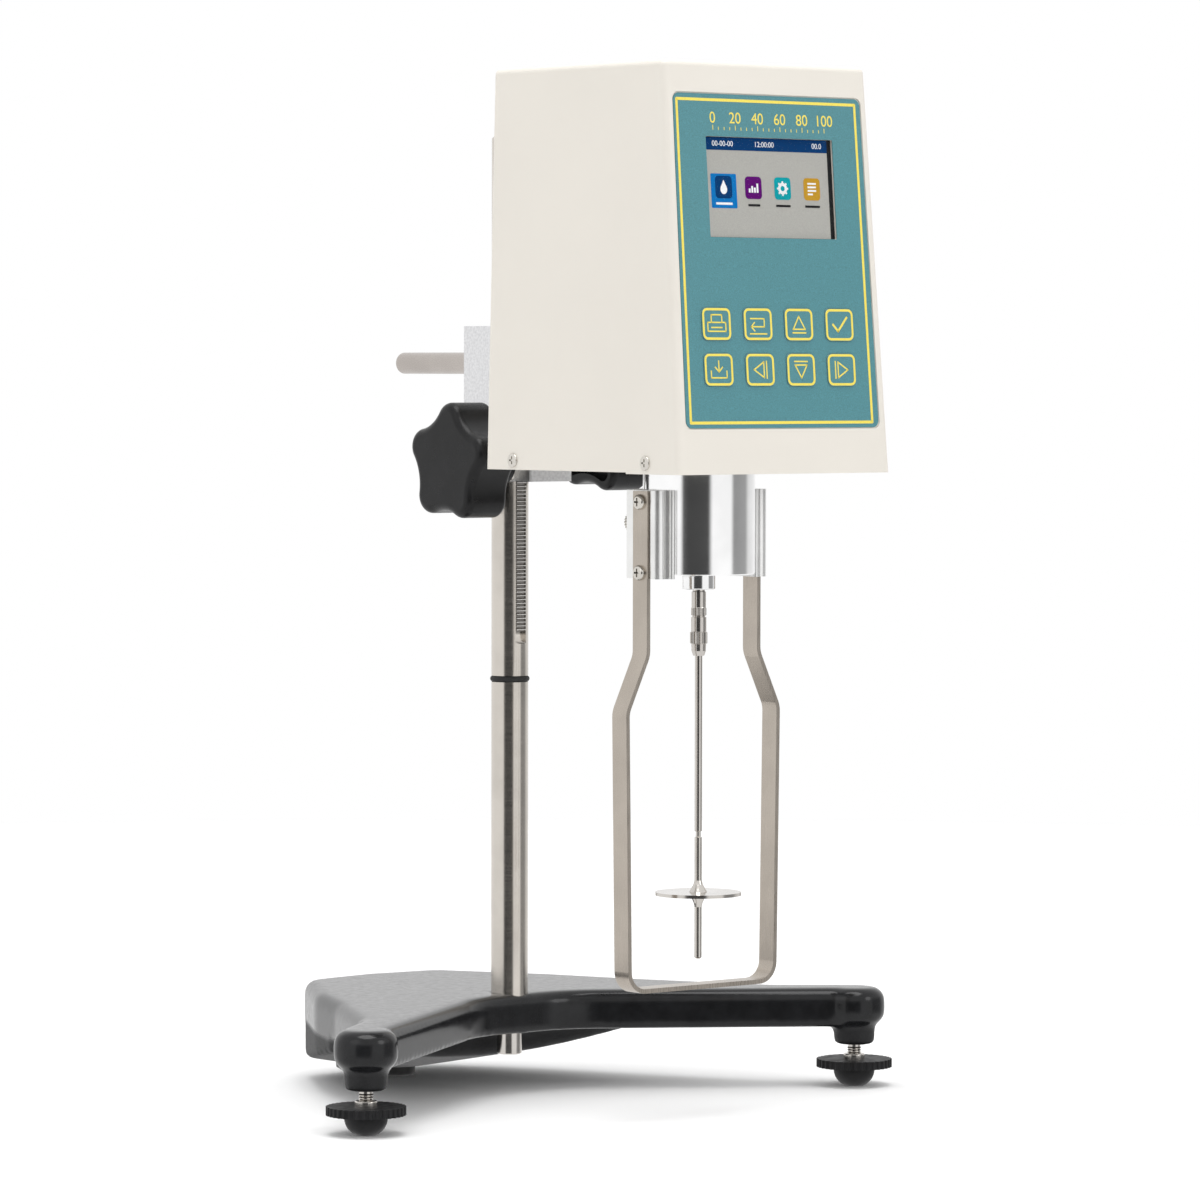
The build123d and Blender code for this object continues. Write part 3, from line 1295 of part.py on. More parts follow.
def make_guard_bracket():
    """Extruded clamp that hugs the nose from behind and seats the strip on both sides."""
    bore = NOSE_R + RUN
    plan = Pos(0, NOSE_Y) * Circle(BRACKET_RING_R)
    swing = math.radians(LIP_ANGLE)
    lip_x = (bore + LIP_R) * math.sin(swing)
    lip_y = NOSE_Y - (bore + LIP_R) * math.cos(swing)
    mouth_centre = Pos(0, (BEAD_Y + HEAD_FRONT_Y) / 2)
    plan -= mouth_centre * Rectangle(2 * STRIP_OUTER_X, BEAD_Y - HEAD_FRONT_Y)
    for side in (1, -1):
        block = Pos(side * STRIP_INNER_X / 2, (BEAD_Y + BLOCK_REAR) / 2)
        plan += block * Rectangle(STRIP_INNER_X, BLOCK_REAR - BEAD_Y)
        plan += Pos(side * BEAD_X, BEAD_Y) * Circle(BEAD_R)
        plan += Pos(side * lip_x, lip_y) * Circle(LIP_R)
        web = [(side * BEAD_X, BEAD_Y), (side * lip_x, lip_y), (side * lip_x, NOSE_Y)]
        plan += make_face(Polyline(*web, close=True).edges())
        pocket = Pos(side * (STRIP_INNER_X + STRIP_THICK), STRIP_Y)
        plan -= pocket * Rectangle(2 * STRIP_THICK, STRIP_WIDTH + 2 * SEAT)
    plan -= Pos(0, NOSE_Y) * Circle(bore)
    clamp = Pos(0, 0, BRACKET_BOTTOM) * extrude(plan, BRACKET_TOP - BRACKET_BOTTOM)
    inside = NOSE_Y + NOSE_R
    boss_start = inside + (BRACKET_RING_R - NOSE_R) / 2
    clamp += bar_y(THUMB_BOSS_R, boss_start, THUMB_BOSS_END_Y, 0, THUMB_Z)
    clamp -= bar_y(THUMB_STUD_R + RUN, NOSE_Y, 0, 0, THUMB_Z)
    clamp -= post_z(bore, 0, HEAD_TOP, 0, NOSE_Y)
    for side in (1, -1):
        for z in GUARD_SCREW_ZS:
            start = side * (STRIP_INNER_X - 3.5)
            stop = side * (STRIP_INNER_X + 5)
            low, high = min(start, stop), max(start, stop)
            clamp -= bar_x(GUARD_SCREW_R + RUN, low, high, STRIP_Y, z)
    return clamp


def make_guard_screws():
    screw = pan_screw(GUARD_SCREW_HEAD_R, GUARD_SCREW_HEAD, GUARD_SCREW_R, STRIP_THICK + 3.2)
    screws = []
    for z in GUARD_SCREW_ZS:
        screws.append(Pos(STRIP_OUTER_X, STRIP_Y, z) * Rot(0, 90, 0) * screw)
        screws.append(Pos(-STRIP_OUTER_X, STRIP_Y, z) * Rot(0, -90, 0) * screw)
    return screws


def make_guard_thumb_screw():
    start = THUMB_END_Y - THUMB_HEAD
    face = Circle(THUMB_R - 0.35)
    for step in range(24):
        tooth = Rot(0, 0, 15 * step) * Pos(THUMB_R - 0.42, 0) * Circle(0.42)
        face += tooth
    head = Pos(0, start, THUMB_Z) * Rot(-90, 0, 0) * extrude(face, THUMB_HEAD)
    stud = bar_y(THUMB_STUD_R, NOSE_Y + NOSE_R + GAP, start + 1, 0, THUMB_Z)
    return head + stud


# ---- write every piece ----------------------------------------------------------------

os.makedirs("parts", exist_ok=True)
TO_ORIGIN = Pos(0, -ORIGIN_Y, 0)


def write(name, shape):
    """Write one sub-part; a list is a group of separate solids."""
    if isinstance(shape, list):
        placed = Compound([TO_ORIGIN * item for item in shape])
    else:
        placed = TO_ORIGIN * shape
    export_step(placed, f"parts/{name}.step")


write("base_casting", make_base_casting())
write("rear_foot_pad", make_rear_foot_pad())
for side_name, side in (("left", -1), ("right", 1)):
    foot = Pos(side * FOOT_X, FOOT_Y, 0)
    write(f"foot_stud_{side_name}", foot * make_foot_stud())
    write(f"foot_collar_{side_name}", foot * make_foot_collar())
    write(f"foot_wheel_{side_name}", foot * make_foot_wheel())
write("post", make_post())
write("rack_bar", make_rack_bar())
write("post_o_ring", make_o_ring())
write("post_nut", make_post_nut())

write("lift_block", make_lift_block())
write("pinion_bush", make_pinion_bush())
write("pinion_shaft", make_pinion_shaft())
write("lift_knob", make_lift_knob())
write("lock_knob", make_lock_knob())
write("lock_stud", make_lock_stud())
write("head_rod", make_head_rod())
write("rod_clamp_screw", make_rod_clamp_screw())

write("housing_cover", make_housing_cover())
write("chassis_plate", make_chassis_plate())
write("cover_screws", make_cover_screws())
write("label_panel", make_label_panel())
write("display_window", make_display_window())
write("display_module", make_display_module())
for number, (key_u, key_v) in enumerate(key_places(), start=1):
    write(f"key_{number}", make_key(key_u, key_v))
write("key_board", make_key_board())

write("nose_sleeve", make_nose_sleeve())
write("nose_collar", make_nose_collar())
write("coupling", make_coupling())
write("spindle", make_spindle())
write("pivot_shaft", make_pivot_shaft())
write("jewel_bearing", make_jewel_bearing())
write("torsion_spring", make_torsion_spring())
write("drive_disc", make_drive_disc())
write("pillars", make_pillars())
write("motor_plate", make_motor_plate())
write("motor", make_motor())
write("code_sensor", make_code_sensor())
write("main_board", make_main_board())

write("rod_socket", make_rod_socket())
write("switch_frame", make_switch_frame())
write("switch_rocker", make_switch_rocker())
write("power_inlet", make_power_inlet())
write("data_socket", make_data_socket())
write("probe_socket", make_probe_socket())
write("level_cup", make_level_cup())
write("level_glass", make_level_glass())

write("guard_strip", make_guard_strip())
write("guard_bracket", make_guard_bracket())
write("guard_screws", make_guard_screws())
write("guard_thumb_screw", make_guard_thumb_screw())
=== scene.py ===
# %% [markdown]
# # A bench viscometer, dressed for its portrait
# The construction model gives every solid piece of the instrument in metres, with +Z up and the
# control panel looking towards -Y. This lesson keeps those solids where they are, gives each of
# them a finish, and adds the fine things that a construction model leaves out: the printed panel,
# the lit display, the knurls and the cast grain.

import math

import bmesh
import bpy
from mathutils import Matrix, Vector


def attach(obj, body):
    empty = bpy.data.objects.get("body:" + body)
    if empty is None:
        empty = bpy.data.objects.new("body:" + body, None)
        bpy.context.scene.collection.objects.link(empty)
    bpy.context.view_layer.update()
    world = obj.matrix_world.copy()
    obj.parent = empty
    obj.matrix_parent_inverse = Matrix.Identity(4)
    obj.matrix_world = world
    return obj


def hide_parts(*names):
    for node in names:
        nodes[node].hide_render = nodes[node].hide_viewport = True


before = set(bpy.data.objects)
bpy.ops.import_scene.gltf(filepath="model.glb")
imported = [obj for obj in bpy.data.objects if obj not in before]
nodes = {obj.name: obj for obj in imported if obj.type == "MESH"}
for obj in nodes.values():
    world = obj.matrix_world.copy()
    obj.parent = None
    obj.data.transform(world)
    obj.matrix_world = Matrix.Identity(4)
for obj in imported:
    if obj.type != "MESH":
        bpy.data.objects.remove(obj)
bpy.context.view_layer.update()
MM = 0.001

# %% [markdown]
# ## Finishes from layers of noise
# A real finish is never one flat value: powder coat has a faint orange peel, turned steel has fine
# rings, a moulding has a bloom. Each finish here is one Principled shader whose colour, roughness
# and normal are all nudged by noise in Object coordinates. Stretching the noise with a Mapping node
# turns round grain into brushing or turning lines, so one helper serves every finish.


# %% A finish and its grain
def finish(name, colour, rough, metal=0.0, coat=0.0, specular=0.5):
    """One Principled material with its constant values on the shader itself."""
    made = bpy.data.materials.new(name)
    made.use_nodes = True
    shader = made.node_tree.nodes["Principled BSDF"]
    shader.inputs["Base Color"].default_value = (*colour, 1.0)
    shader.inputs["Roughness"].default_value = rough
    shader.inputs["Metallic"].default_value = metal
    shader.inputs["Coat Weight"].default_value = coat
    shader.inputs["Coat Roughness"].default_value = 0.08
    shader.inputs["Specular IOR Level"].default_value = specular
    return made


def grain_noise(made, scale, stretch=(1, 1, 1), detail=3.0):
    """Noise in Object coordinates, stretched along the axes."""
    tree = made.node_tree
    place = tree.nodes.new("ShaderNodeTexCoord")
    mapping = tree.nodes.new("ShaderNodeMapping")
    mapping.inputs["Scale"].default_value = stretch
    noise = tree.nodes.new("ShaderNodeTexNoise")
    noise.inputs["Scale"].default_value = scale
    noise.inputs["Detail"].default_value = detail
    tree.links.new(place.outputs["Object"], mapping.inputs["Vector"])
    tree.links.new(mapping.outputs["Vector"], noise.inputs["Vector"])
    return noise.outputs["Fac"]


def spread(made, source, low, high, start=0.3, end=0.7):
    """Map a noise onto a range of values."""
    tree = made.node_tree
    ranged = tree.nodes.new("ShaderNodeMapRange")
    ranged.inputs["From Min"].default_value = start
    ranged.inputs["From Max"].default_value = end
    ranged.inputs["To Min"].default_value = low
    ranged.inputs["To Max"].default_value = high
    tree.links.new(source, ranged.inputs["Value"])
    return ranged.outputs["Result"]


def vary_colour(made, source, first, second):
    """Drift the base colour between two neighbours."""
    tree = made.node_tree
    ramp = tree.nodes.new("ShaderNodeValToRGB")
    ramp.color_ramp.elements[0].position = 0.35
    ramp.color_ramp.elements[0].color = (*first, 1.0)
    ramp.color_ramp.elements[1].position = 0.65
    ramp.color_ramp.elements[1].color = (*second, 1.0)
    tree.links.new(source, ramp.inputs["Fac"])
    tree.links.new(ramp.outputs["Color"], tree.nodes["Principled BSDF"].inputs["Base Color"])


def vary_rough(made, source, low, high):
    """Drift the roughness."""
    tree = made.node_tree
    shader = tree.nodes["Principled BSDF"]
    tree.links.new(spread(made, source, low, high), shader.inputs["Roughness"])


def raise_grain(made, source, strength, depth):
    """Feed a noise to the shader's normal as a bump."""
    tree = made.node_tree
    shader = tree.nodes["Principled BSDF"]
    bump = tree.nodes.new("ShaderNodeBump")
    bump.inputs["Strength"].default_value = strength
    bump.inputs["Distance"].default_value = depth
    tree.links.new(source, bump.inputs["Height"])
    earlier = shader.inputs["Normal"].links
    if earlier:
        tree.links.new(earlier[0].from_socket, bump.inputs["Normal"])
    tree.links.new(bump.outputs["Normal"], shader.inputs["Normal"])
    return bump


def shade(colour, factor):
    """A colour made lighter or darker."""
    return tuple(min(1.0, c * factor) for c in colour)


def metal_finish(name, colour, rough, lines, line_scale, strength=0.15):
    """Bare metal whose tool marks run along one direction."""
    made = finish(name, colour, rough, metal=1.0)
    marks = grain_noise(made, line_scale, lines, 2.0)
    clouds = grain_noise(made, 60.0)
    vary_colour(made, clouds, shade(colour, 0.95), shade(colour, 1.04))
    vary_rough(made, marks, rough * 0.8, rough * 1.25)
    raise_grain(made, marks, strength, 0.00002)
    return made


print("finish helpers ready")

# %% [markdown]
# ## The finishes of this instrument
# The head wears cream powder coat, the base black enamel over rough cast iron, the stand is ground
# steel, the nose is polished aluminium and the guard is satin nickel. Plastic parts differ mostly in
# their grain: the star knobs have a soft sheen, the levelling wheels are duller.

# %% Paints and plastics
CREAM = (0.705, 0.67, 0.61)
cream_coat = finish("cream_powder_coat", CREAM, 0.42, specular=0.4)
vary_colour(cream_coat, grain_noise(cream_coat, 14.0), shade(CREAM, 0.985), shade(CREAM, 1.01))
vary_rough(cream_coat, grain_noise(cream_coat, 240.0), 0.38, 0.48)
raise_grain(cream_coat, grain_noise(cream_coat, 1400.0), 0.12, 0.00004)

KNOB_BLACK = (0.006, 0.006, 0.0065)
knob_black = finish("knob_black", KNOB_BLACK, 0.3, specular=0.25)
vary_colour(knob_black, grain_noise(knob_black, 90.0), KNOB_BLACK, shade(KNOB_BLACK, 1.5))
vary_rough(knob_black, grain_noise(knob_black, 260.0), 0.26, 0.38)
raise_grain(knob_black, grain_noise(knob_black, 1800.0), 0.2, 0.00004)

wheel_black = finish("wheel_black", (0.008, 0.008, 0.009), 0.45, specular=0.25)
vary_rough(wheel_black, grain_noise(wheel_black, 300.0), 0.42, 0.6)
vary_colour(wheel_black, grain_noise(wheel_black, 120.0), (0.006, 0.006, 0.0065), (0.012, 0.012, 0.013))
raise_grain(wheel_black, grain_noise(wheel_black, 2600.0), 0.35, 0.00006)

rubber_black = finish("rubber_black", (0.012, 0.012, 0.012), 0.7)
vary_rough(rubber_black, grain_noise(rubber_black, 400.0), 0.6, 0.8)
vary_colour(rubber_black, grain_noise(rubber_black, 200.0), (0.01, 0.01, 0.01), (0.02, 0.02, 0.02))
raise_grain(rubber_black, grain_noise(rubber_black, 3000.0), 0.3, 0.00005)
print("paints and plastics:", len(bpy.data.materials))

# %% [markdown]
# ## Metals and their tool marks
# Turned pieces carry rings across their axis and the ground rod is brushed along its length. Where a
# mark is finer than a pixel it hardly shows, but it still spreads the highlight.

# %% Bare metals
RINGS = (0.01, 0.01, 1.0)
ALONG_Y = (1.0, 0.02, 1.0)
post_steel = metal_finish("post_ground_steel", (0.63, 0.59, 0.54), 0.19, RINGS, 5200.0, 0.02)
nose_aluminium = metal_finish("nose_polished", (0.95, 0.95, 0.95), 0.12, RINGS, 6000.0, 0.02)
turned_steel = metal_finish("turned_stainless", (0.62, 0.59, 0.555), 0.16, RINGS, 7000.0, 0.04)
rod_steel = metal_finish("rod_ground_steel", (0.49, 0.45, 0.42), 0.26, ALONG_Y, 4200.0, 0.06)
strip_nickel = metal_finish("strip_satin_nickel", (0.485, 0.435, 0.38), 0.3, (1, 1, 0.03), 3600.0, 0.08)
bracket_aluminium = metal_finish("bracket_satin", (0.86, 0.86, 0.85), 0.33, (1, 1, 1), 4000.0, 0.01)
screw_plate = metal_finish("screw_plating", (0.66, 0.63, 0.58), 0.2, (1, 1, 1), 1500.0, 0.1)
rack_steel = finish("rack_milled", (0.34, 0.32, 0.30), 0.3, metal=1.0)
vary_colour(rack_steel, grain_noise(rack_steel, 300.0), (0.32, 0.30, 0.28), (0.38, 0.36, 0.34))
vary_rough(rack_steel, grain_noise(rack_steel, 200.0), 0.26, 0.3)
# painted highlight: a bright steel that stands for the light caught on the tooth crests
crest_highlight_steel = finish("rack_crest_highlight", (0.85, 0.83, 0.80), 0.35, metal=1.0)
vary_colour(crest_highlight_steel, grain_noise(crest_highlight_steel, 700.0), (0.78, 0.76, 0.73), (0.9, 0.88, 0.85))
vary_rough(crest_highlight_steel, grain_noise(crest_highlight_steel, 900.0), 0.3, 0.42)
brass = metal_finish("brass_turned", (0.70, 0.55, 0.30), 0.3, (1, 1, 1), 1500.0, 0.1)
block_aluminium = finish("block_blasted", (0.66, 0.66, 0.67), 0.45, metal=1.0)
vary_colour(block_aluminium, grain_noise(block_aluminium, 900.0), (0.70, 0.70, 0.71), (0.82, 0.82, 0.83))
vary_rough(block_aluminium, grain_noise(block_aluminium, 1500.0), 0.38, 0.55)
raise_grain(block_aluminium, grain_noise(block_aluminium, 2200.0), 0.4, 0.00004)
print("metals ready")

# %% [markdown]
# ## Black enamel over cast iron
# The base is one casting. Its top and sides are filled and enamelled, so they only show a slow
# orange peel, while the belly underneath keeps the sand grain of the mould. The height in Object
# coordinates switches between the two: a ramp on Z drives how much coarse grain reaches the bump
# and how rough the gloss gets.

# %% Enamel with a grainy belly
ENAMEL = (0.008, 0.0082, 0.009)
enamel = finish("base_enamel", ENAMEL, 0.2, specular=0.3)
tree = enamel.node_tree
place = tree.nodes.new("ShaderNodeTexCoord")
split = tree.nodes.new("ShaderNodeSeparateXYZ")
tree.links.new(place.outputs["Object"], split.inputs["Vector"])
belly = spread(enamel, split.outputs["Z"], 1.0, 0.0, 0.0235, 0.0262)
peel = grain_noise(enamel, 420.0)
sand = grain_noise(enamel, 1700.0, detail=5.0)
gloss = spread(enamel, peel, 0.15, 0.21)
dull = spread(enamel, sand, 0.42, 0.62)
blend = tree.nodes.new("ShaderNodeMix")
tree.links.new(belly, blend.inputs["Factor"])
tree.links.new(gloss, blend.inputs["A"])
tree.links.new(dull, blend.inputs["B"])
tree.links.new(blend.outputs["Result"], tree.nodes["Principled BSDF"].inputs["Roughness"])
vary_colour(enamel, grain_noise(enamel, 160.0), ENAMEL, shade(ENAMEL, 1.5))
raise_grain(enamel, peel, 0.02, 0.00003)
coarse = raise_grain(enamel, sand, 0.6, 0.0002)
tree.links.new(belly, coarse.inputs["Strength"])
print("enamel nodes:", len(tree.nodes))

# %% [markdown]
# ## Film, print and glass
# The control panel is a printed polyester film: a teal ground with a fine grain and yellow print.
# The pane over the display is clear acrylic, so it is mostly transparent with a weak reflection.

# %% Panel finishes
TEAL = (0.062, 0.218, 0.248)
film = finish("panel_teal_film", TEAL, 0.42)
vary_colour(film, grain_noise(film, 2600.0, detail=4.0), shade(TEAL, 0.82), shade(TEAL, 1.16))
vary_rough(film, grain_noise(film, 700.0), 0.38, 0.5)
raise_grain(film, grain_noise(film, 3200.0), 0.2, 0.00003)


def ink(name, colour, glow=0.0, specular=0.15):
    """Printed or lit colour with a faint mottling."""
    made = finish(name, colour, 0.4, specular=specular)
    vary_colour(made, grain_noise(made, 1800.0), shade(colour, 0.95), shade(colour, 1.05))
    raise_grain(made, grain_noise(made, 2500.0), 0.1, 0.00002)
    shader = made.node_tree.nodes["Principled BSDF"]
    shader.inputs["Emission Color"].default_value = (*colour, 1.0)
    shader.inputs["Emission Strength"].default_value = glow
    return made


yellow_ink = ink("print_yellow", (0.80, 0.66, 0.10), specular=0.4)
screen_grey = ink("screen_grey", (0.37, 0.365, 0.34), 0.12)
screen_black = ink("screen_black", (0.006, 0.006, 0.007))
screen_blue = ink("screen_blue", (0.0015, 0.036, 0.135), 0.08, 0.02)
screen_pick = ink("screen_pick", (0.004, 0.15, 0.43), 0.1, 0.02)
screen_deep = ink("screen_deep_blue", (0.001, 0.038, 0.14), 0.08, 0.02)
screen_violet = ink("screen_violet", (0.09, 0.003, 0.13), 0.15, 0.02)
screen_teal = ink("screen_teal", (0.004, 0.28, 0.32), 0.15, 0.02)
screen_ochre = ink("screen_ochre", (0.44, 0.24, 0.012), 0.15)
screen_white = ink("screen_white", (0.75, 0.77, 0.78), 0.15)

pane = finish("clear_acrylic", (0.05, 0.055, 0.055), 0.04, specular=0.1)
pane.node_tree.nodes["Principled BSDF"].inputs["Alpha"].default_value = 0.03
vary_rough(pane, grain_noise(pane, 90.0), 0.03, 0.06)
board_green = finish("board_green", (0.02, 0.12, 0.05), 0.45)
vary_colour(board_green, grain_noise(board_green, 500.0), (0.015, 0.1, 0.04), (0.03, 0.15, 0.07))
vial_green = finish("vial_fluid", (0.45, 0.62, 0.12), 0.08)
vary_colour(vial_green, grain_noise(vial_green, 80.0), (0.42, 0.6, 0.1), (0.5, 0.68, 0.15))
print("panel finishes:", len(bpy.data.materials))

# %% [markdown]
# ## Dress the construction pieces
# Most solids already have the right shape, so they only need their finish. One table names the
# finish of every node, which also makes it hard to forget one: the loop stops on a missing name.

# %% One finish per node
node_finish = {
    "base_casting": enamel,
    "rear_foot_pad": rubber_black,
    "foot_stud_left": turned_steel,
    "foot_stud_right": turned_steel,
    "foot_collar_left": turned_steel,
    "foot_collar_right": turned_steel,
    "foot_wheel_left": wheel_black,
    "foot_wheel_right": wheel_black,
    "post": post_steel,
    "rack_bar": rack_steel,
    "post_o_ring": rubber_black,
    "post_nut": turned_steel,
    "lift_block": block_aluminium,
    "pinion_bush": screw_plate,
    "pinion_shaft": rack_steel,
    "lift_knob": knob_black,
    "lock_knob": knob_black,
    "lock_stud": screw_plate,
    "head_rod": rod_steel,
    "rod_clamp_screw": rack_steel,
    "housing_cover": cream_coat,
    "chassis_plate": rack_steel,
    "cover_screws": screw_plate,
    "label_panel": film,
    "display_window": pane,
    "display_module": screen_black,
    "key_board": board_green,
    "nose_sleeve": nose_aluminium,
    "nose_collar": nose_aluminium,
    "coupling": turned_steel,
    "spindle": turned_steel,
    "pivot_shaft": turned_steel,
    "jewel_bearing": brass,
    "torsion_spring": brass,
    "drive_disc": brass,
    "pillars": screw_plate,
    "motor_plate": block_aluminium,
    "motor": rack_steel,
    "code_sensor": wheel_black,
    "main_board": board_green,
    "rod_socket": block_aluminium,
    "switch_frame": wheel_black,
    "switch_rocker": knob_black,
    "power_inlet": wheel_black,
    "data_socket": screw_plate,
    "probe_socket": screw_plate,
    "level_cup": nose_aluminium,
    "level_glass": vial_green,
    "guard_strip": strip_nickel,
    "guard_bracket": bracket_aluminium,
    "guard_screws": screw_plate,
    "guard_thumb_screw": screw_plate,
}
for number in range(1, 9):
    node_finish[f"key_{number}"] = film
for name, node in nodes.items():
    node.data.materials.clear()
    node.data.materials.append(node_finish[name])
print("dressed", len(nodes), "nodes")

# %% [markdown]
# ## A workbench on the leaning panel
# The front of the head leans back by a few degrees. Everything printed on it is easier to draw flat,
# across and up from the foot of the panel, and then to move into place with one matrix. Heights are
# counted outwards from the painted face, so the film lies just below zero.

# %% The panel's own frame
LEAN = 0.0824
UP = Vector((0, LEAN, 1)).normalized()
OUT = Vector((0, -1, LEAN)).normalized()
FOOT = Vector((0, -139.05, 262.0)) * MM
PANEL = Matrix(
    (
        (1, UP.x, OUT.x, FOOT.x),
        (0, UP.y, OUT.y, FOOT.y),
        (0, UP.z, OUT.z, FOOT.z),
        (0, 0, 0, 1),
    )
)
FILM_TOP = -0.2
KEY_TOP = 0.3
PRINT = 0.05


def piece(name, mesh, made, body, stands_for=()):
    """A finished mesh becomes an object that rides on a body."""
    data = bpy.data.meshes.new(name)
    mesh.to_mesh(data)
    mesh.free()
    made_object = bpy.data.objects.new(name, data)
    bpy.context.scene.collection.objects.link(made_object)
    data.materials.append(made)
    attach(made_object, body)
    if stands_for:
        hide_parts(*stands_for)
    return made_object


def polygon(mesh, points):
    """A flat face from a few corners, in millimetres on the panel."""
    corners = [mesh.verts.new((x * MM, y * MM, 0)) for x, y in points]
    return mesh.faces.new(corners)


def rounded(mesh, x, y, width, height, radius, steps=4):
    """A flat rounded rectangle: a grid of one face whose corners are bevelled."""
    made = bmesh.ops.create_grid(mesh, x_segments=1, y_segments=1, size=0.5)
    bmesh.ops.scale(mesh, vec=(width * MM, height * MM, 1), verts=made["verts"])
    bmesh.ops.translate(mesh, vec=(x * MM, y * MM, 0), verts=made["verts"])
    if radius > 0:
        bmesh.ops.bevel(
            mesh,
            geom=made["verts"],
            offset=radius * MM,
            offset_type="OFFSET",
            affect="VERTICES",
            segments=steps,
            profile=0.5,
            material=-1,
        )


def ring(mesh, face, line):
    """Keep only a border of a face: inset it and drop the middle."""
    bmesh.ops.inset_region(
        mesh, faces=[face], thickness=line * MM, use_boundary=True, use_even_offset=True
    )
    bmesh.ops.delete(mesh, geom=[face], context="FACES")


def thicken(mesh, low, high):
    """Raise every flat face into a thin plate between two heights."""
    made = bmesh.ops.extrude_face_region(mesh, geom=mesh.faces[:])
    raised = [item for item in made["geom"] if isinstance(item, bmesh.types.BMVert)]
    grounded = [vert for vert in mesh.verts if vert not in set(raised)]
    for vert in raised:
        vert.co.z = high * MM
    for vert in grounded:
        vert.co.z = low * MM
    bmesh.ops.recalc_face_normals(mesh, faces=mesh.faces[:])


def set_on_panel(mesh):
    bmesh.ops.transform(mesh, matrix=PANEL, verts=mesh.verts[:])


print("panel frame at", [round(value, 4) for value in FOOT])

# %% [markdown]
# ## The yellow frame line
# A single printed line runs round the film, two millimetres inside its edge. It follows the draft of
# the head, so it is a little wider at the foot. It is cut as a ring from one four-cornered face.

# %% Border line
border = bmesh.new()
polygon(border, [(-48.4, 19.7), (47.4, 19.7), (46.3, 147.8), (-47.5, 147.8)])
bmesh.ops.bevel(
    border,
    geom=border.verts[:],
    offset=0.6 * MM,
    affect="VERTICES",
    segments=3,
    profile=0.5,
    material=-1,
)
border.faces.ensure_lookup_table()
ring(border, border.faces[0], 1.15)
thicken(border, FILM_TOP, FILM_TOP + PRINT)
set_on_panel(border)
piece("panel_border", border, yellow_ink, "head")
print("border drawn")

# %% [markdown]
# ## Keys with an embossed outline
# The eight membrane keys differ only in their pictogram. Their outline is a rounded ring; the
# pictograms are small polygons. Each print belongs to its own key, so that it goes in when the key
# is pressed.

# %% Key outlines and pictograms
KEY_PITCH = (21.35, 17.95)
KEY_MIDDLE = -0.5
KEY_ROW = 41.1
LINE = 0.55


def stroke(mesh, points, width=LINE, closed=False):
    """A line of even width through points, as one quad per stretch whose ends run on by half the width.
    """
    count = len(points)
    stretches = count if closed else count - 1
    for index in range(stretches):
        a = Vector(points[index])
        b = Vector(points[(index + 1) % count])
        along = (b - a).normalized() * width / 2
        side = Vector((-along.y, along.x))
        quad = [a - along + side, a - along - side, b + along - side, b + along + side]
        polygon(mesh, quad)


def arrow(mesh, turn):
    """Open triangle with a bar under its foot, turned to point any way."""
    swing = Matrix.Rotation(math.radians(turn), 2)
    triangle = [swing @ Vector(p) for p in ((-3.1, -1.9), (3.1, -1.9), (0, 3.2))]
    foot = [swing @ Vector(p) for p in ((-3.3, -3.3), (3.3, -3.3))]
    stroke(mesh, triangle, closed=True)
    stroke(mesh, foot)


def sheet_mark(mesh):
    """A sheet leaving a slot."""
    stroke(mesh, [(-4.6, 0.6), (-4.6, -2.9), (4.6, -2.9), (4.6, 0.6)], closed=True)
    stroke(mesh, [(-2.7, 0.6), (-2.7, 3.6), (2.7, 3.6), (2.7, 0.6)])
    stroke(mesh, [(-2.6, -1.4), (2.6, -1.4)])


def back_mark(mesh):
    """An arrow that turns back over a line."""
    stroke(mesh, [(-3.8, 2.2), (3.2, 2.2), (3.2, -1.0), (-3.4, -1.0)])
    stroke(mesh, [(-1.9, 0.6), (-3.6, -1.0), (-1.9, -2.6)])
    stroke(mesh, [(-4.2, -3.8), (4.2, -3.8)])


def tick_mark(mesh):
    stroke(mesh, [(-3.4, 0.0), (-0.9, -2.6), (3.8, 2.8)], 0.9)


def tray_mark(mesh):
    """A drop into a tray."""
    stroke(mesh, [(-4.0, -0.6), (-4.0, -3.2), (4.0, -3.2), (4.0, -0.6)])
    stroke(mesh, [(0, 3.4), (0, -0.9)])
    stroke(mesh, [(-1.8, 0.9), (0, -0.9), (1.8, 0.9)])


marks = [
    sheet_mark,
    back_mark,
    lambda mesh: arrow(mesh, 0),
    tick_mark,
    tray_mark,
    lambda mesh: arrow(mesh, 90),
    lambda mesh: arrow(mesh, 180),
    lambda mesh: arrow(mesh, -90),
]
for number, mark in enumerate(marks):
    row, column = divmod(number, 4)
    u = KEY_MIDDLE + KEY_PITCH[0] * (column - 1.5)
    v = KEY_ROW + KEY_PITCH[1] * (1 - row)
    outline = bmesh.new()
    rounded(outline, 0, 0, 14.4, 12.5, 2.4)
    outline.faces.ensure_lookup_table()
    ring(outline, outline.faces[0], 0.95)
    mark(outline)
    bmesh.ops.translate(outline, vec=(u * MM, v * MM, 0), verts=outline.verts[:])
    thicken(outline, KEY_TOP - 0.02, KEY_TOP + PRINT)
    set_on_panel(outline)
    piece(f"key_{number + 1}_print", outline, yellow_ink, f"key_body_{number + 1}")
print("printed", len(marks), "keys")

# %% [markdown]
# ## A scale in the title's place
# The head of the panel carries a plain percent scale in yellow: a row of numbers, as on the dial of
# an older instrument. Numbers come from text objects that are turned into meshes.


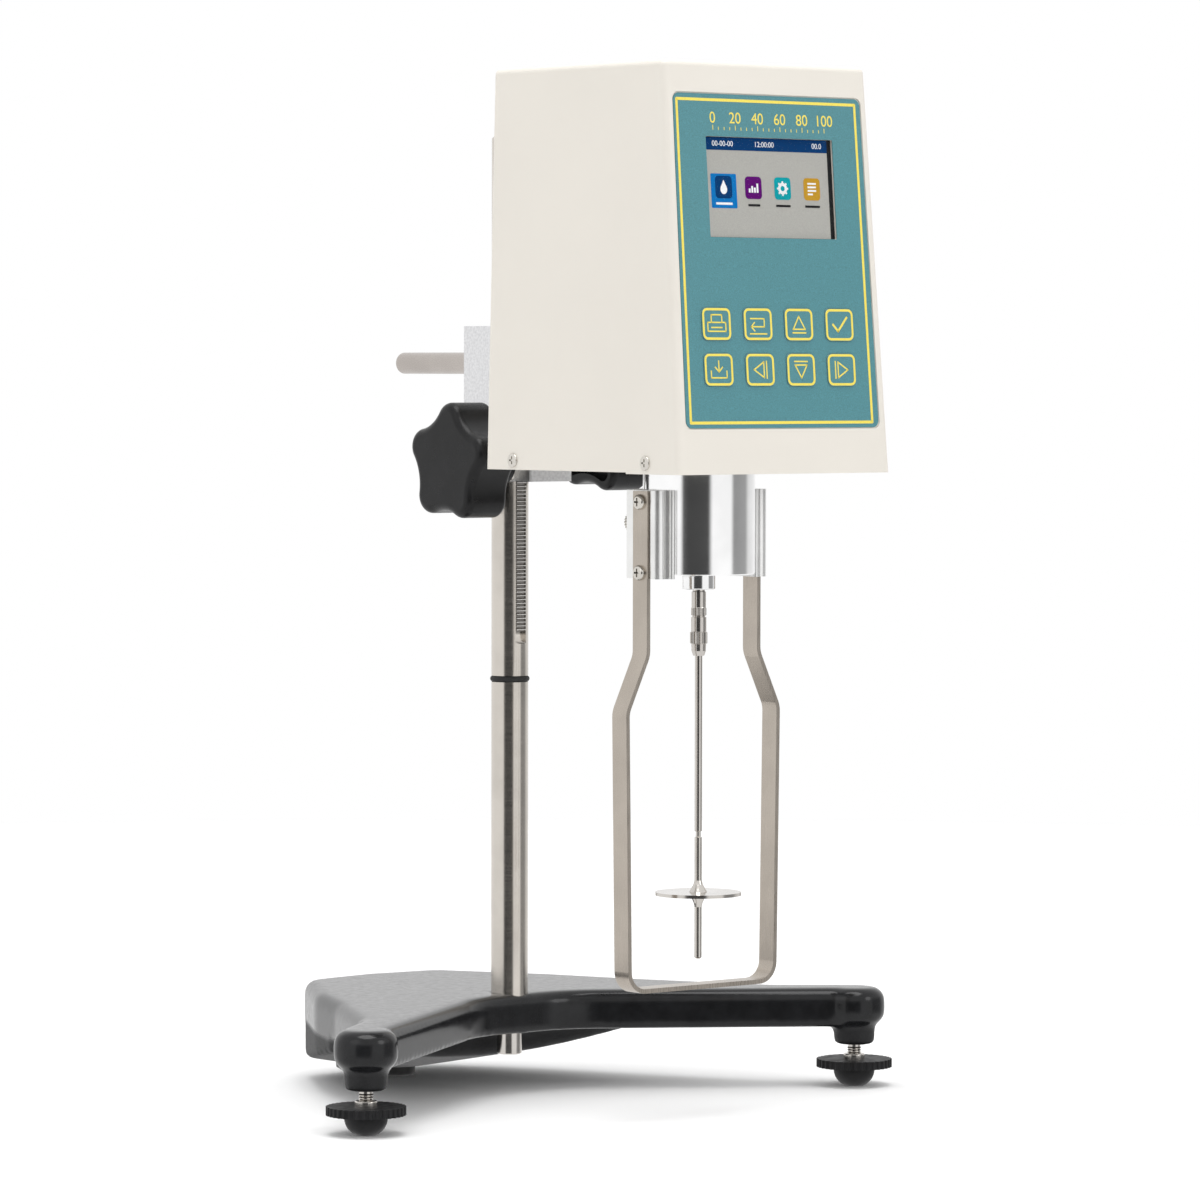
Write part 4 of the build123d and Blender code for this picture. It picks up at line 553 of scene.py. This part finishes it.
# %% Plain numbers
def numbers(name, text, u, v, height, made, body, low, high):
    """Text set on the panel, centred at u and standing on v."""
    letters = bpy.data.curves.new(name, "FONT")
    letters.body = text
    letters.align_x = "CENTER"
    letters.size = height * MM / 0.7
    carrier = bpy.data.objects.new(name + "_curve", letters)
    bpy.context.scene.collection.objects.link(carrier)
    bpy.context.view_layer.update()
    flat = bpy.data.meshes.new_from_object(carrier)
    bpy.data.objects.remove(carrier)
    mesh = bmesh.new()
    mesh.from_mesh(flat)
    bpy.data.meshes.remove(flat)
    bmesh.ops.remove_doubles(mesh, verts=mesh.verts[:], dist=0.00001)
    bmesh.ops.translate(mesh, vec=(u * MM, v * MM, 0), verts=mesh.verts[:])
    thicken(mesh, low, high)
    set_on_panel(mesh)
    return piece(name, mesh, made, body)


SCALE_LEFT = -29.0
NUMBER_STEP = 11.6
TICKS_PER_NUMBER = 4
NUMBER_FOOT = 138.2
NUMBER_HEIGHT = 4.4
TICK_FOOT = 135.6
inked = (yellow_ink, "head", FILM_TOP, FILM_TOP + PRINT)
texts = ("0", "20", "40", "60", "80", "100")
for step, text in enumerate(texts):
    u = SCALE_LEFT + step * NUMBER_STEP
    numbers(f"scale_{text}", text, u, NUMBER_FOOT, NUMBER_HEIGHT, *inked)
ticks = bmesh.new()
for step in range((len(texts) - 1) * TICKS_PER_NUMBER + 1):
    u = SCALE_LEFT + step * NUMBER_STEP / TICKS_PER_NUMBER
    height = 1.6 if step % TICKS_PER_NUMBER == 0 else 0.9
    stroke(ticks, [(u, TICK_FOOT), (u, TICK_FOOT + height)], 0.3)
thicken(ticks, FILM_TOP, FILM_TOP + PRINT)
set_on_panel(ticks)
piece("scale_ticks", ticks, yellow_ink, "head")
print("scale drawn")

# %% [markdown]
# ## The lit display
# Behind the pane lies a colour display. Its picture is built as a stack of thin plates: a grey ground,
# a blue bar with plain numbers, and four tiles with simple pictograms, the first of them picked out.
# The pane itself is made a little thinner than the solid, so that the picture lies under it.

# %% Ground, bar and tiles
SCREEN_LOW = -1.42
LAYER = 0.04


def screen_plate(name, shapes, made, layer):
    """Rounded plates (u, v, width, height, radius) in one layer of the picture."""
    mesh = bmesh.new()
    for u, v, width, height, radius in shapes:
        single = bmesh.new()
        rounded(single, u, v, width, height, radius)
        data = bpy.data.meshes.new("part")
        single.to_mesh(data)
        single.free()
        mesh.from_mesh(data)
        bpy.data.meshes.remove(data)
    thicken(mesh, SCREEN_LOW + LAYER * layer, SCREEN_LOW + LAYER * (layer + 1))
    set_on_panel(mesh)
    return piece(name, mesh, made, "head")


SCREEN_U = -0.95
SCREEN_WIDTH = 63.6
DROP_U = -24.0
CHART_U = -8.6
WHEEL_U = 6.6
PAGE_U = 21.95
TILE_V = 113.1
CAPTION_V = 106.2
ground = (SCREEN_U, 113.05, SCREEN_WIDTH, 39.3, 0.2)
bar = (SCREEN_U, 130.2, SCREEN_WIDTH, 5.0, 0.2)
screen_plate("screen_ground", [ground], screen_grey, 0)
screen_plate("screen_bar", [bar], screen_blue, 1)
screen_plate("screen_picked", [(-23.9, 111.6, 13.2, 13.6, 0.5)], screen_pick, 1)
tiles = (
    ("drop", DROP_U, screen_deep),
    ("chart", CHART_U, screen_violet),
    ("wheel", WHEEL_U, screen_teal),
    ("page", PAGE_U, screen_ochre),
)
for name, u, made in tiles:
    screen_plate(f"tile_{name}", [(u, TILE_V, 8.6, 8.9, 1.6)], made, 2)
captions = [(DROP_U, 106.6, 8.4, 0.9, 0.2), (CHART_U, CAPTION_V, 6.2, 0.9, 0.2)]
captions += [(WHEEL_U, CAPTION_V, 7.6, 0.9, 0.2), (PAGE_U, CAPTION_V, 7.8, 0.9, 0.2)]
screen_plate("tile_captions", captions[1:], screen_black, 2)
screen_plate("tile_caption_picked", captions[:1], screen_white, 2)
print("display plates laid")

# %% [markdown]
# ## Small pictures on the tiles
# Each tile shows one white pictogram of polygons: a drop, a chart, a wheel and a page. The pane goes
# on last and stands for the solid window, which it follows closely.

# %% Pictograms and numbers on the display
PICTURE = SCREEN_LOW + LAYER * 3


def pictogram(name, draw):
    mesh = bmesh.new()
    draw(mesh)
    thicken(mesh, PICTURE, PICTURE + LAYER)
    set_on_panel(mesh)
    return piece(name, mesh, screen_white, "head")


def draw_drop(mesh):
    points = [(0, 2.9), (-0.8, 1.3), (-1.5, 0.1), (-1.75, -0.9), (-1.5, -1.9), (-0.8, -2.6)]
    points += [(0, -2.8)] + [(-x, y) for x, y in reversed(points[1:])]
    polygon(mesh, [(DROP_U + x, TILE_V + y) for x, y in points])


def block(mesh, left, low, width, height):
    """An upright rectangle from its lower left corner."""
    right = left + width
    high = low + height
    polygon(mesh, [(left, low), (right, low), (right, high), (left, high)])


def draw_chart(mesh):
    for step, height in enumerate((1.6, 2.6, 2.0, 3.6)):
        block(mesh, CHART_U - 2.45 + step * 1.35, TILE_V - 1.9, 0.9, height)


def draw_wheel(mesh):
    for step in range(8):
        swing = Matrix.Rotation(math.radians(45 * step), 2)
        tooth = [swing @ Vector(p) for p in ((-0.5, 1.6), (0.5, 1.6), (0.35, 2.9), (-0.35, 2.9))]
        polygon(mesh, [(WHEEL_U + p.x, TILE_V + p.y) for p in tooth])
        arc = [swing @ Vector(p) for p in ((-0.95, 2.2), (-0.45, 1.05), (0.45, 1.05), (0.95, 2.2))]
        polygon(mesh, [(WHEEL_U + p.x, TILE_V + p.y) for p in arc])


def draw_page(mesh):
    for row, wide in enumerate((4.4, 4.4, 4.4, 2.6)):
        block(mesh, PAGE_U - 2.2, TILE_V + 1.85 - 1.4 * row, wide, 0.7)


pictogram("picture_drop", draw_drop)
pictogram("picture_chart", draw_chart)
pictogram("picture_wheel", draw_wheel)
pictogram("picture_page", draw_page)
bar_layer = SCREEN_LOW + LAYER * 2
lit = (screen_white, "head", bar_layer, bar_layer + LAYER)
readings = (
    ("count", "00-00-00", -23.5),
    ("clock", "12:00:00", -2.0),
    ("degrees", "00.0", 25.5),
)
for name, text, u in readings:
    numbers(f"bar_{name}", text, u, 129.3, 2.1, *lit)

glass = bmesh.new()
rounded(glass, 0.1, 113.05, 65.8, 39.5, 0.5)
thicken(glass, -1.15, FILM_TOP)
set_on_panel(glass)
piece("display_pane", glass, pane, "head", ["display_window"])
print("display finished")

# %% [markdown]
# ## Knurled grips on the coupling
# Two bands of the spindle coupling are knurled for the fingers. A knurl is a ring of fine teeth: a
# circle whose corners are pushed in and out in turn, drawn up to the height of the band.

# %% Knurls
NOSE_AXIS = Vector((0, -85.45, 0)) * MM


def knurl(name, radius, low, high, teeth, depth):
    mesh = bmesh.new()
    bmesh.ops.create_circle(mesh, cap_ends=True, segments=teeth * 2, radius=radius * MM)
    mesh.verts.ensure_lookup_table()
    for index, vert in enumerate(mesh.verts):
        if index % 2:
            vert.co *= 1 - depth / radius
    made = bmesh.ops.extrude_face_region(mesh, geom=mesh.faces[:])
    raised = [item for item in made["geom"] if isinstance(item, bmesh.types.BMVert)]
    bmesh.ops.translate(mesh, vec=(0, 0, (high - low) * MM), verts=raised)
    bmesh.ops.translate(mesh, vec=NOSE_AXIS + Vector((0, 0, low * MM)), verts=mesh.verts[:])
    bmesh.ops.recalc_face_normals(mesh, faces=mesh.faces[:])
    return piece(name, mesh, turned_steel, "measuring_shaft")


knurl("coupling_knurl_upper", 3.08, 204.4, 207.3, 30, 0.22)
knurl("coupling_knurl_lower", 3.5, 193.1, 197.5, 34, 0.25)
print("knurls cut")

# %% [markdown]
# ## Round shoulders on the guard clamp
# The clamp is an extruded section with round beads. Its construction mesh is made of flat strips that
# would show as stripes on satin metal. A copy is merged into one skin, its long edges stay sharp only
# where they turn by more than a third of a right angle, and the rest is shaded as one round surface.


# %% Smooth-shaded copies
def smooth_copy(name, made, body, turn):
    """Merge a copy of a node's triangles and shade it smooth up to an edge angle."""
    mesh = bmesh.new()
    mesh.from_mesh(nodes[name].data)
    bmesh.ops.transform(mesh, matrix=nodes[name].matrix_world, verts=mesh.verts[:])
    bmesh.ops.remove_doubles(mesh, verts=mesh.verts[:], dist=0.000002)
    bmesh.ops.recalc_face_normals(mesh, faces=mesh.faces[:])
    for face in mesh.faces:
        face.smooth = True
    for edge in mesh.edges:
        edge.smooth = edge.calc_face_angle(0.0) < math.radians(turn)
    return piece(f"{name}_smooth", mesh, made, body, [name])


smooth_copy("guard_bracket", bracket_aluminium, "guard", 32)
print("clamp smoothed")

# %% [markdown]
# ## Painted highlights on the rack teeth
# The teeth are so fine that light only catches their crests. Each crest gets a hair-thin bright cap, a
# painted highlight that stands for the light caught on the crests.

# %% Tooth crests
RACK_FOOT = 193.6
RACK_HEAD = 396.0
TOOTH_PITCH = math.pi * 0.5
CREST_Y = 29.24
CREST_SIZE = Vector((5.0, 0.04, 0.4)) * MM
crests = bmesh.new()
for tooth in range(int((RACK_HEAD - RACK_FOOT) / TOOTH_PITCH)):
    middle = RACK_FOOT + (tooth + 0.5) * TOOTH_PITCH
    made = bmesh.ops.create_cube(crests, size=1.0)
    bmesh.ops.scale(crests, vec=CREST_SIZE, verts=made["verts"])
    bmesh.ops.translate(crests, vec=Vector((0, CREST_Y, middle)) * MM, verts=made["verts"])
# the bright caps are painted highlights on the tooth crests
piece("rack_crest_highlights", crests, crest_highlight_steel, "base")
print("rack crests laid")

# %% [markdown]
# ## The casting's soft edges
# Filler and enamel round every edge of a casting, and the foot bosses flow into the arms. That is
# easiest from a copy that is remeshed into even small cells and then smoothed a few times. Cells next
# to the holes of the feet and round the post stay where they are, so that those pieces still fit.
# The even cells round off the blind end of each stud hole, so the holes are opened a little again.


# %% Smoothed casting
CELL = 0.0013
PASSES = 7
FOOT_FIT_R = 0.0048
POST_FIT_R = 0.0092
FEET = (Vector((-0.1292, -0.03505)), Vector((0.1292, -0.03505)))
POST = Vector((0.0, 0.03705))
HOLE_R = 0.0033
HOLE_CEILING_R = 0.0024
HOLE_LIFT = 0.0011
HOLE_END = 0.0385


def soft_casting():
    """Remesh a merged copy of the base and smooth it away from its fits."""
    source = bmesh.new()
    source.from_mesh(nodes["base_casting"].data)
    bmesh.ops.transform(source, matrix=nodes["base_casting"].matrix_world, verts=source.verts[:])
    bmesh.ops.remove_doubles(source, verts=source.verts[:], dist=0.000002)
    data = bpy.data.meshes.new("casting_source")
    source.to_mesh(data)
    source.free()
    carrier = bpy.data.objects.new("casting_source", data)
    bpy.context.scene.collection.objects.link(carrier)
    cells = carrier.modifiers.new("cells", "REMESH")
    cells.mode = "VOXEL"
    cells.voxel_size = CELL
    bpy.context.view_layer.update()
    evaluated = carrier.evaluated_get(bpy.context.evaluated_depsgraph_get())
    mesh = bmesh.new()
    mesh.from_mesh(evaluated.to_mesh())
    bpy.data.objects.remove(carrier)
    bpy.data.meshes.remove(data)

    def loose(vert):
        flat = vert.co.xy
        near_foot = min((flat - foot).length for foot in FEET) < FOOT_FIT_R
        near_post = (flat - POST).length < POST_FIT_R
        return not near_foot and not near_post

    movable = [vert for vert in mesh.verts if loose(vert)]
    for _ in range(PASSES):
        bmesh.ops.smooth_vert(
            mesh, verts=movable, factor=0.5, use_axis_x=True, use_axis_y=True, use_axis_z=True
        )
    inner = [vert for vert in mesh.verts if vert.co.z < HOLE_END]
    for vert in inner:
        for foot in FEET:
            spoke = vert.co.xy - foot
            if spoke.length < HOLE_CEILING_R:
                vert.co.z += HOLE_LIFT
            elif spoke.length < HOLE_R:
                vert.co.xy = foot + spoke.normalized() * HOLE_R
    for face in mesh.faces:
        face.smooth = True
    bmesh.ops.recalc_face_normals(mesh, faces=mesh.faces[:])
    print("casting cells:", len(mesh.faces))
    return piece("base_casting_soft", mesh, enamel, "base", ["base_casting"])


soft_casting()

# %% [markdown]
# ## A white floor
# The instrument stands on a wide white sweep. Steel and enamel don't mirror it, so that they show the
# bands of the room down to their feet.

# %% Floor
sweep = bmesh.new()
bmesh.ops.create_circle(sweep, cap_ends=True, segments=96, radius=1.5)
floor_data = bpy.data.meshes.new("floor")
sweep.to_mesh(floor_data)
sweep.free()
floor = bpy.data.objects.new("floor", floor_data)
bpy.context.scene.collection.objects.link(floor)
floor_white = finish("floor_white", (0.92, 0.92, 0.92), 0.85, specular=0.1)
floor_data.materials.append(floor_white)
floor.visible_glossy = False

# %% [markdown]
# ## A tent with dark strips
# The room is a soft white tent with dark and grey strips at eye level, which give polished cylinders
# their bands. One ramp over the bearing places the strips, and a fade on height ends them above and
# below.

# %% Studio
world = bpy.data.worlds.new("studio")
bpy.context.scene.world = world
world.use_nodes = True
room = world.node_tree
background = room.nodes["Background"]
direction = room.nodes.new("ShaderNodeTexCoord")
parts = room.nodes.new("ShaderNodeSeparateXYZ")
room.links.new(direction.outputs["Generated"], parts.inputs["Vector"])
bearing = room.nodes.new("ShaderNodeMath")
bearing.operation = "ARCTAN2"
room.links.new(parts.outputs["Y"], bearing.inputs[0])
room.links.new(parts.outputs["X"], bearing.inputs[1])
turn = room.nodes.new("ShaderNodeMapRange")
turn.inputs["From Min"].default_value = -math.pi
turn.inputs["From Max"].default_value = math.pi
room.links.new(bearing.outputs[0], turn.inputs["Value"])
bands = room.nodes.new("ShaderNodeValToRGB")
stops = (
    (0.0, 1.0),
    (0.034, 1.0),
    (0.05, 0.09),
    (0.08, 0.055),
    (0.194, 0.065),
    (0.214, 1.0),
    (0.33, 1.0),
    (0.35, 0.3),
    (0.445, 0.36),
    (0.475, 0.75),
    (0.6, 1.0),
    (1.0, 1.0),
)
ramp = bands.color_ramp
ramp.elements[1].color = (1, 1, 1, 1)
ramp.elements[0].color = (1, 1, 1, 1)
for spot, value in stops[1:-1]:
    element = ramp.elements.new(spot)
    element.color = (value, value, value, 1)
room.links.new(turn.outputs["Result"], bands.inputs["Fac"])
level = room.nodes.new("ShaderNodeMath")
level.operation = "ABSOLUTE"
room.links.new(parts.outputs["Z"], level.inputs[0])
fade = room.nodes.new("ShaderNodeMapRange")
fade.inputs["From Min"].default_value = 0.16
fade.inputs["From Max"].default_value = 0.34
room.links.new(level.outputs[0], fade.inputs["Value"])
tent = room.nodes.new("ShaderNodeMix")
tent.data_type = "RGBA"
tent.inputs["B"].default_value = (1, 1, 1, 1)
room.links.new(fade.outputs["Result"], tent.inputs["Factor"])
room.links.new(bands.outputs["Color"], tent.inputs["A"])
room.links.new(tent.outputs["Result"], background.inputs["Color"])
background.inputs["Strength"].default_value = 1.0
print("studio nodes:", len(room.nodes))

# %% [markdown]
# ## Three soft lamps
# A wide lamp overhead draws the shadow under the base, a weak one on the left opens the dark side,
# and one in front lights the panel.


# %% Lamps
def lamp(name, place, aim, size, power):
    data = bpy.data.lights.new(name, "AREA")
    data.shape = "DISK"
    data.size = size
    data.energy = power
    made = bpy.data.objects.new(name, data)
    bpy.context.scene.collection.objects.link(made)
    made.location = place
    made.rotation_euler = (Vector(aim) - Vector(place)).to_track_quat("-Z", "Y").to_euler()
    return made


lamp("overhead", (-0.2, -0.3, 1.9), (0, 0, 0.1), 1.4, 18.0)
lamp("left_soft", (-1.6, -0.2, 1.0), (0, 0, 0.2), 1.0, 1.5)
lamp("front_soft", (0.7, -1.7, 0.9), (0, 0, 0.25), 0.8, 4.0)
print("lamps hung")

# %% [markdown]
# ## One long lens
# The camera stands more than two metres away at the height of the carriage and looks slightly down.

# %% Camera
view = bpy.data.cameras.new("portrait")
view.sensor_width = 36.0
view.lens = 5848.12 / 1200 * 36.0
camera = bpy.data.objects.new("portrait", view)
bpy.context.scene.collection.objects.link(camera)
heading = Matrix.Rotation(math.radians(-39.16), 4, "Z")
tilt = Matrix.Rotation(math.radians(90 - 2.301), 4, "X")
roll = Matrix.Rotation(math.radians(0.098), 4, "Z")
stand = Matrix.Translation((-1.513606, -1.881105, 0.304744))
camera.matrix_world = stand @ heading @ tilt @ roll
bpy.context.scene.camera = camera
bpy.context.scene.view_settings.view_transform = "Standard"
print("camera at", [round(value, 4) for value in camera.location])
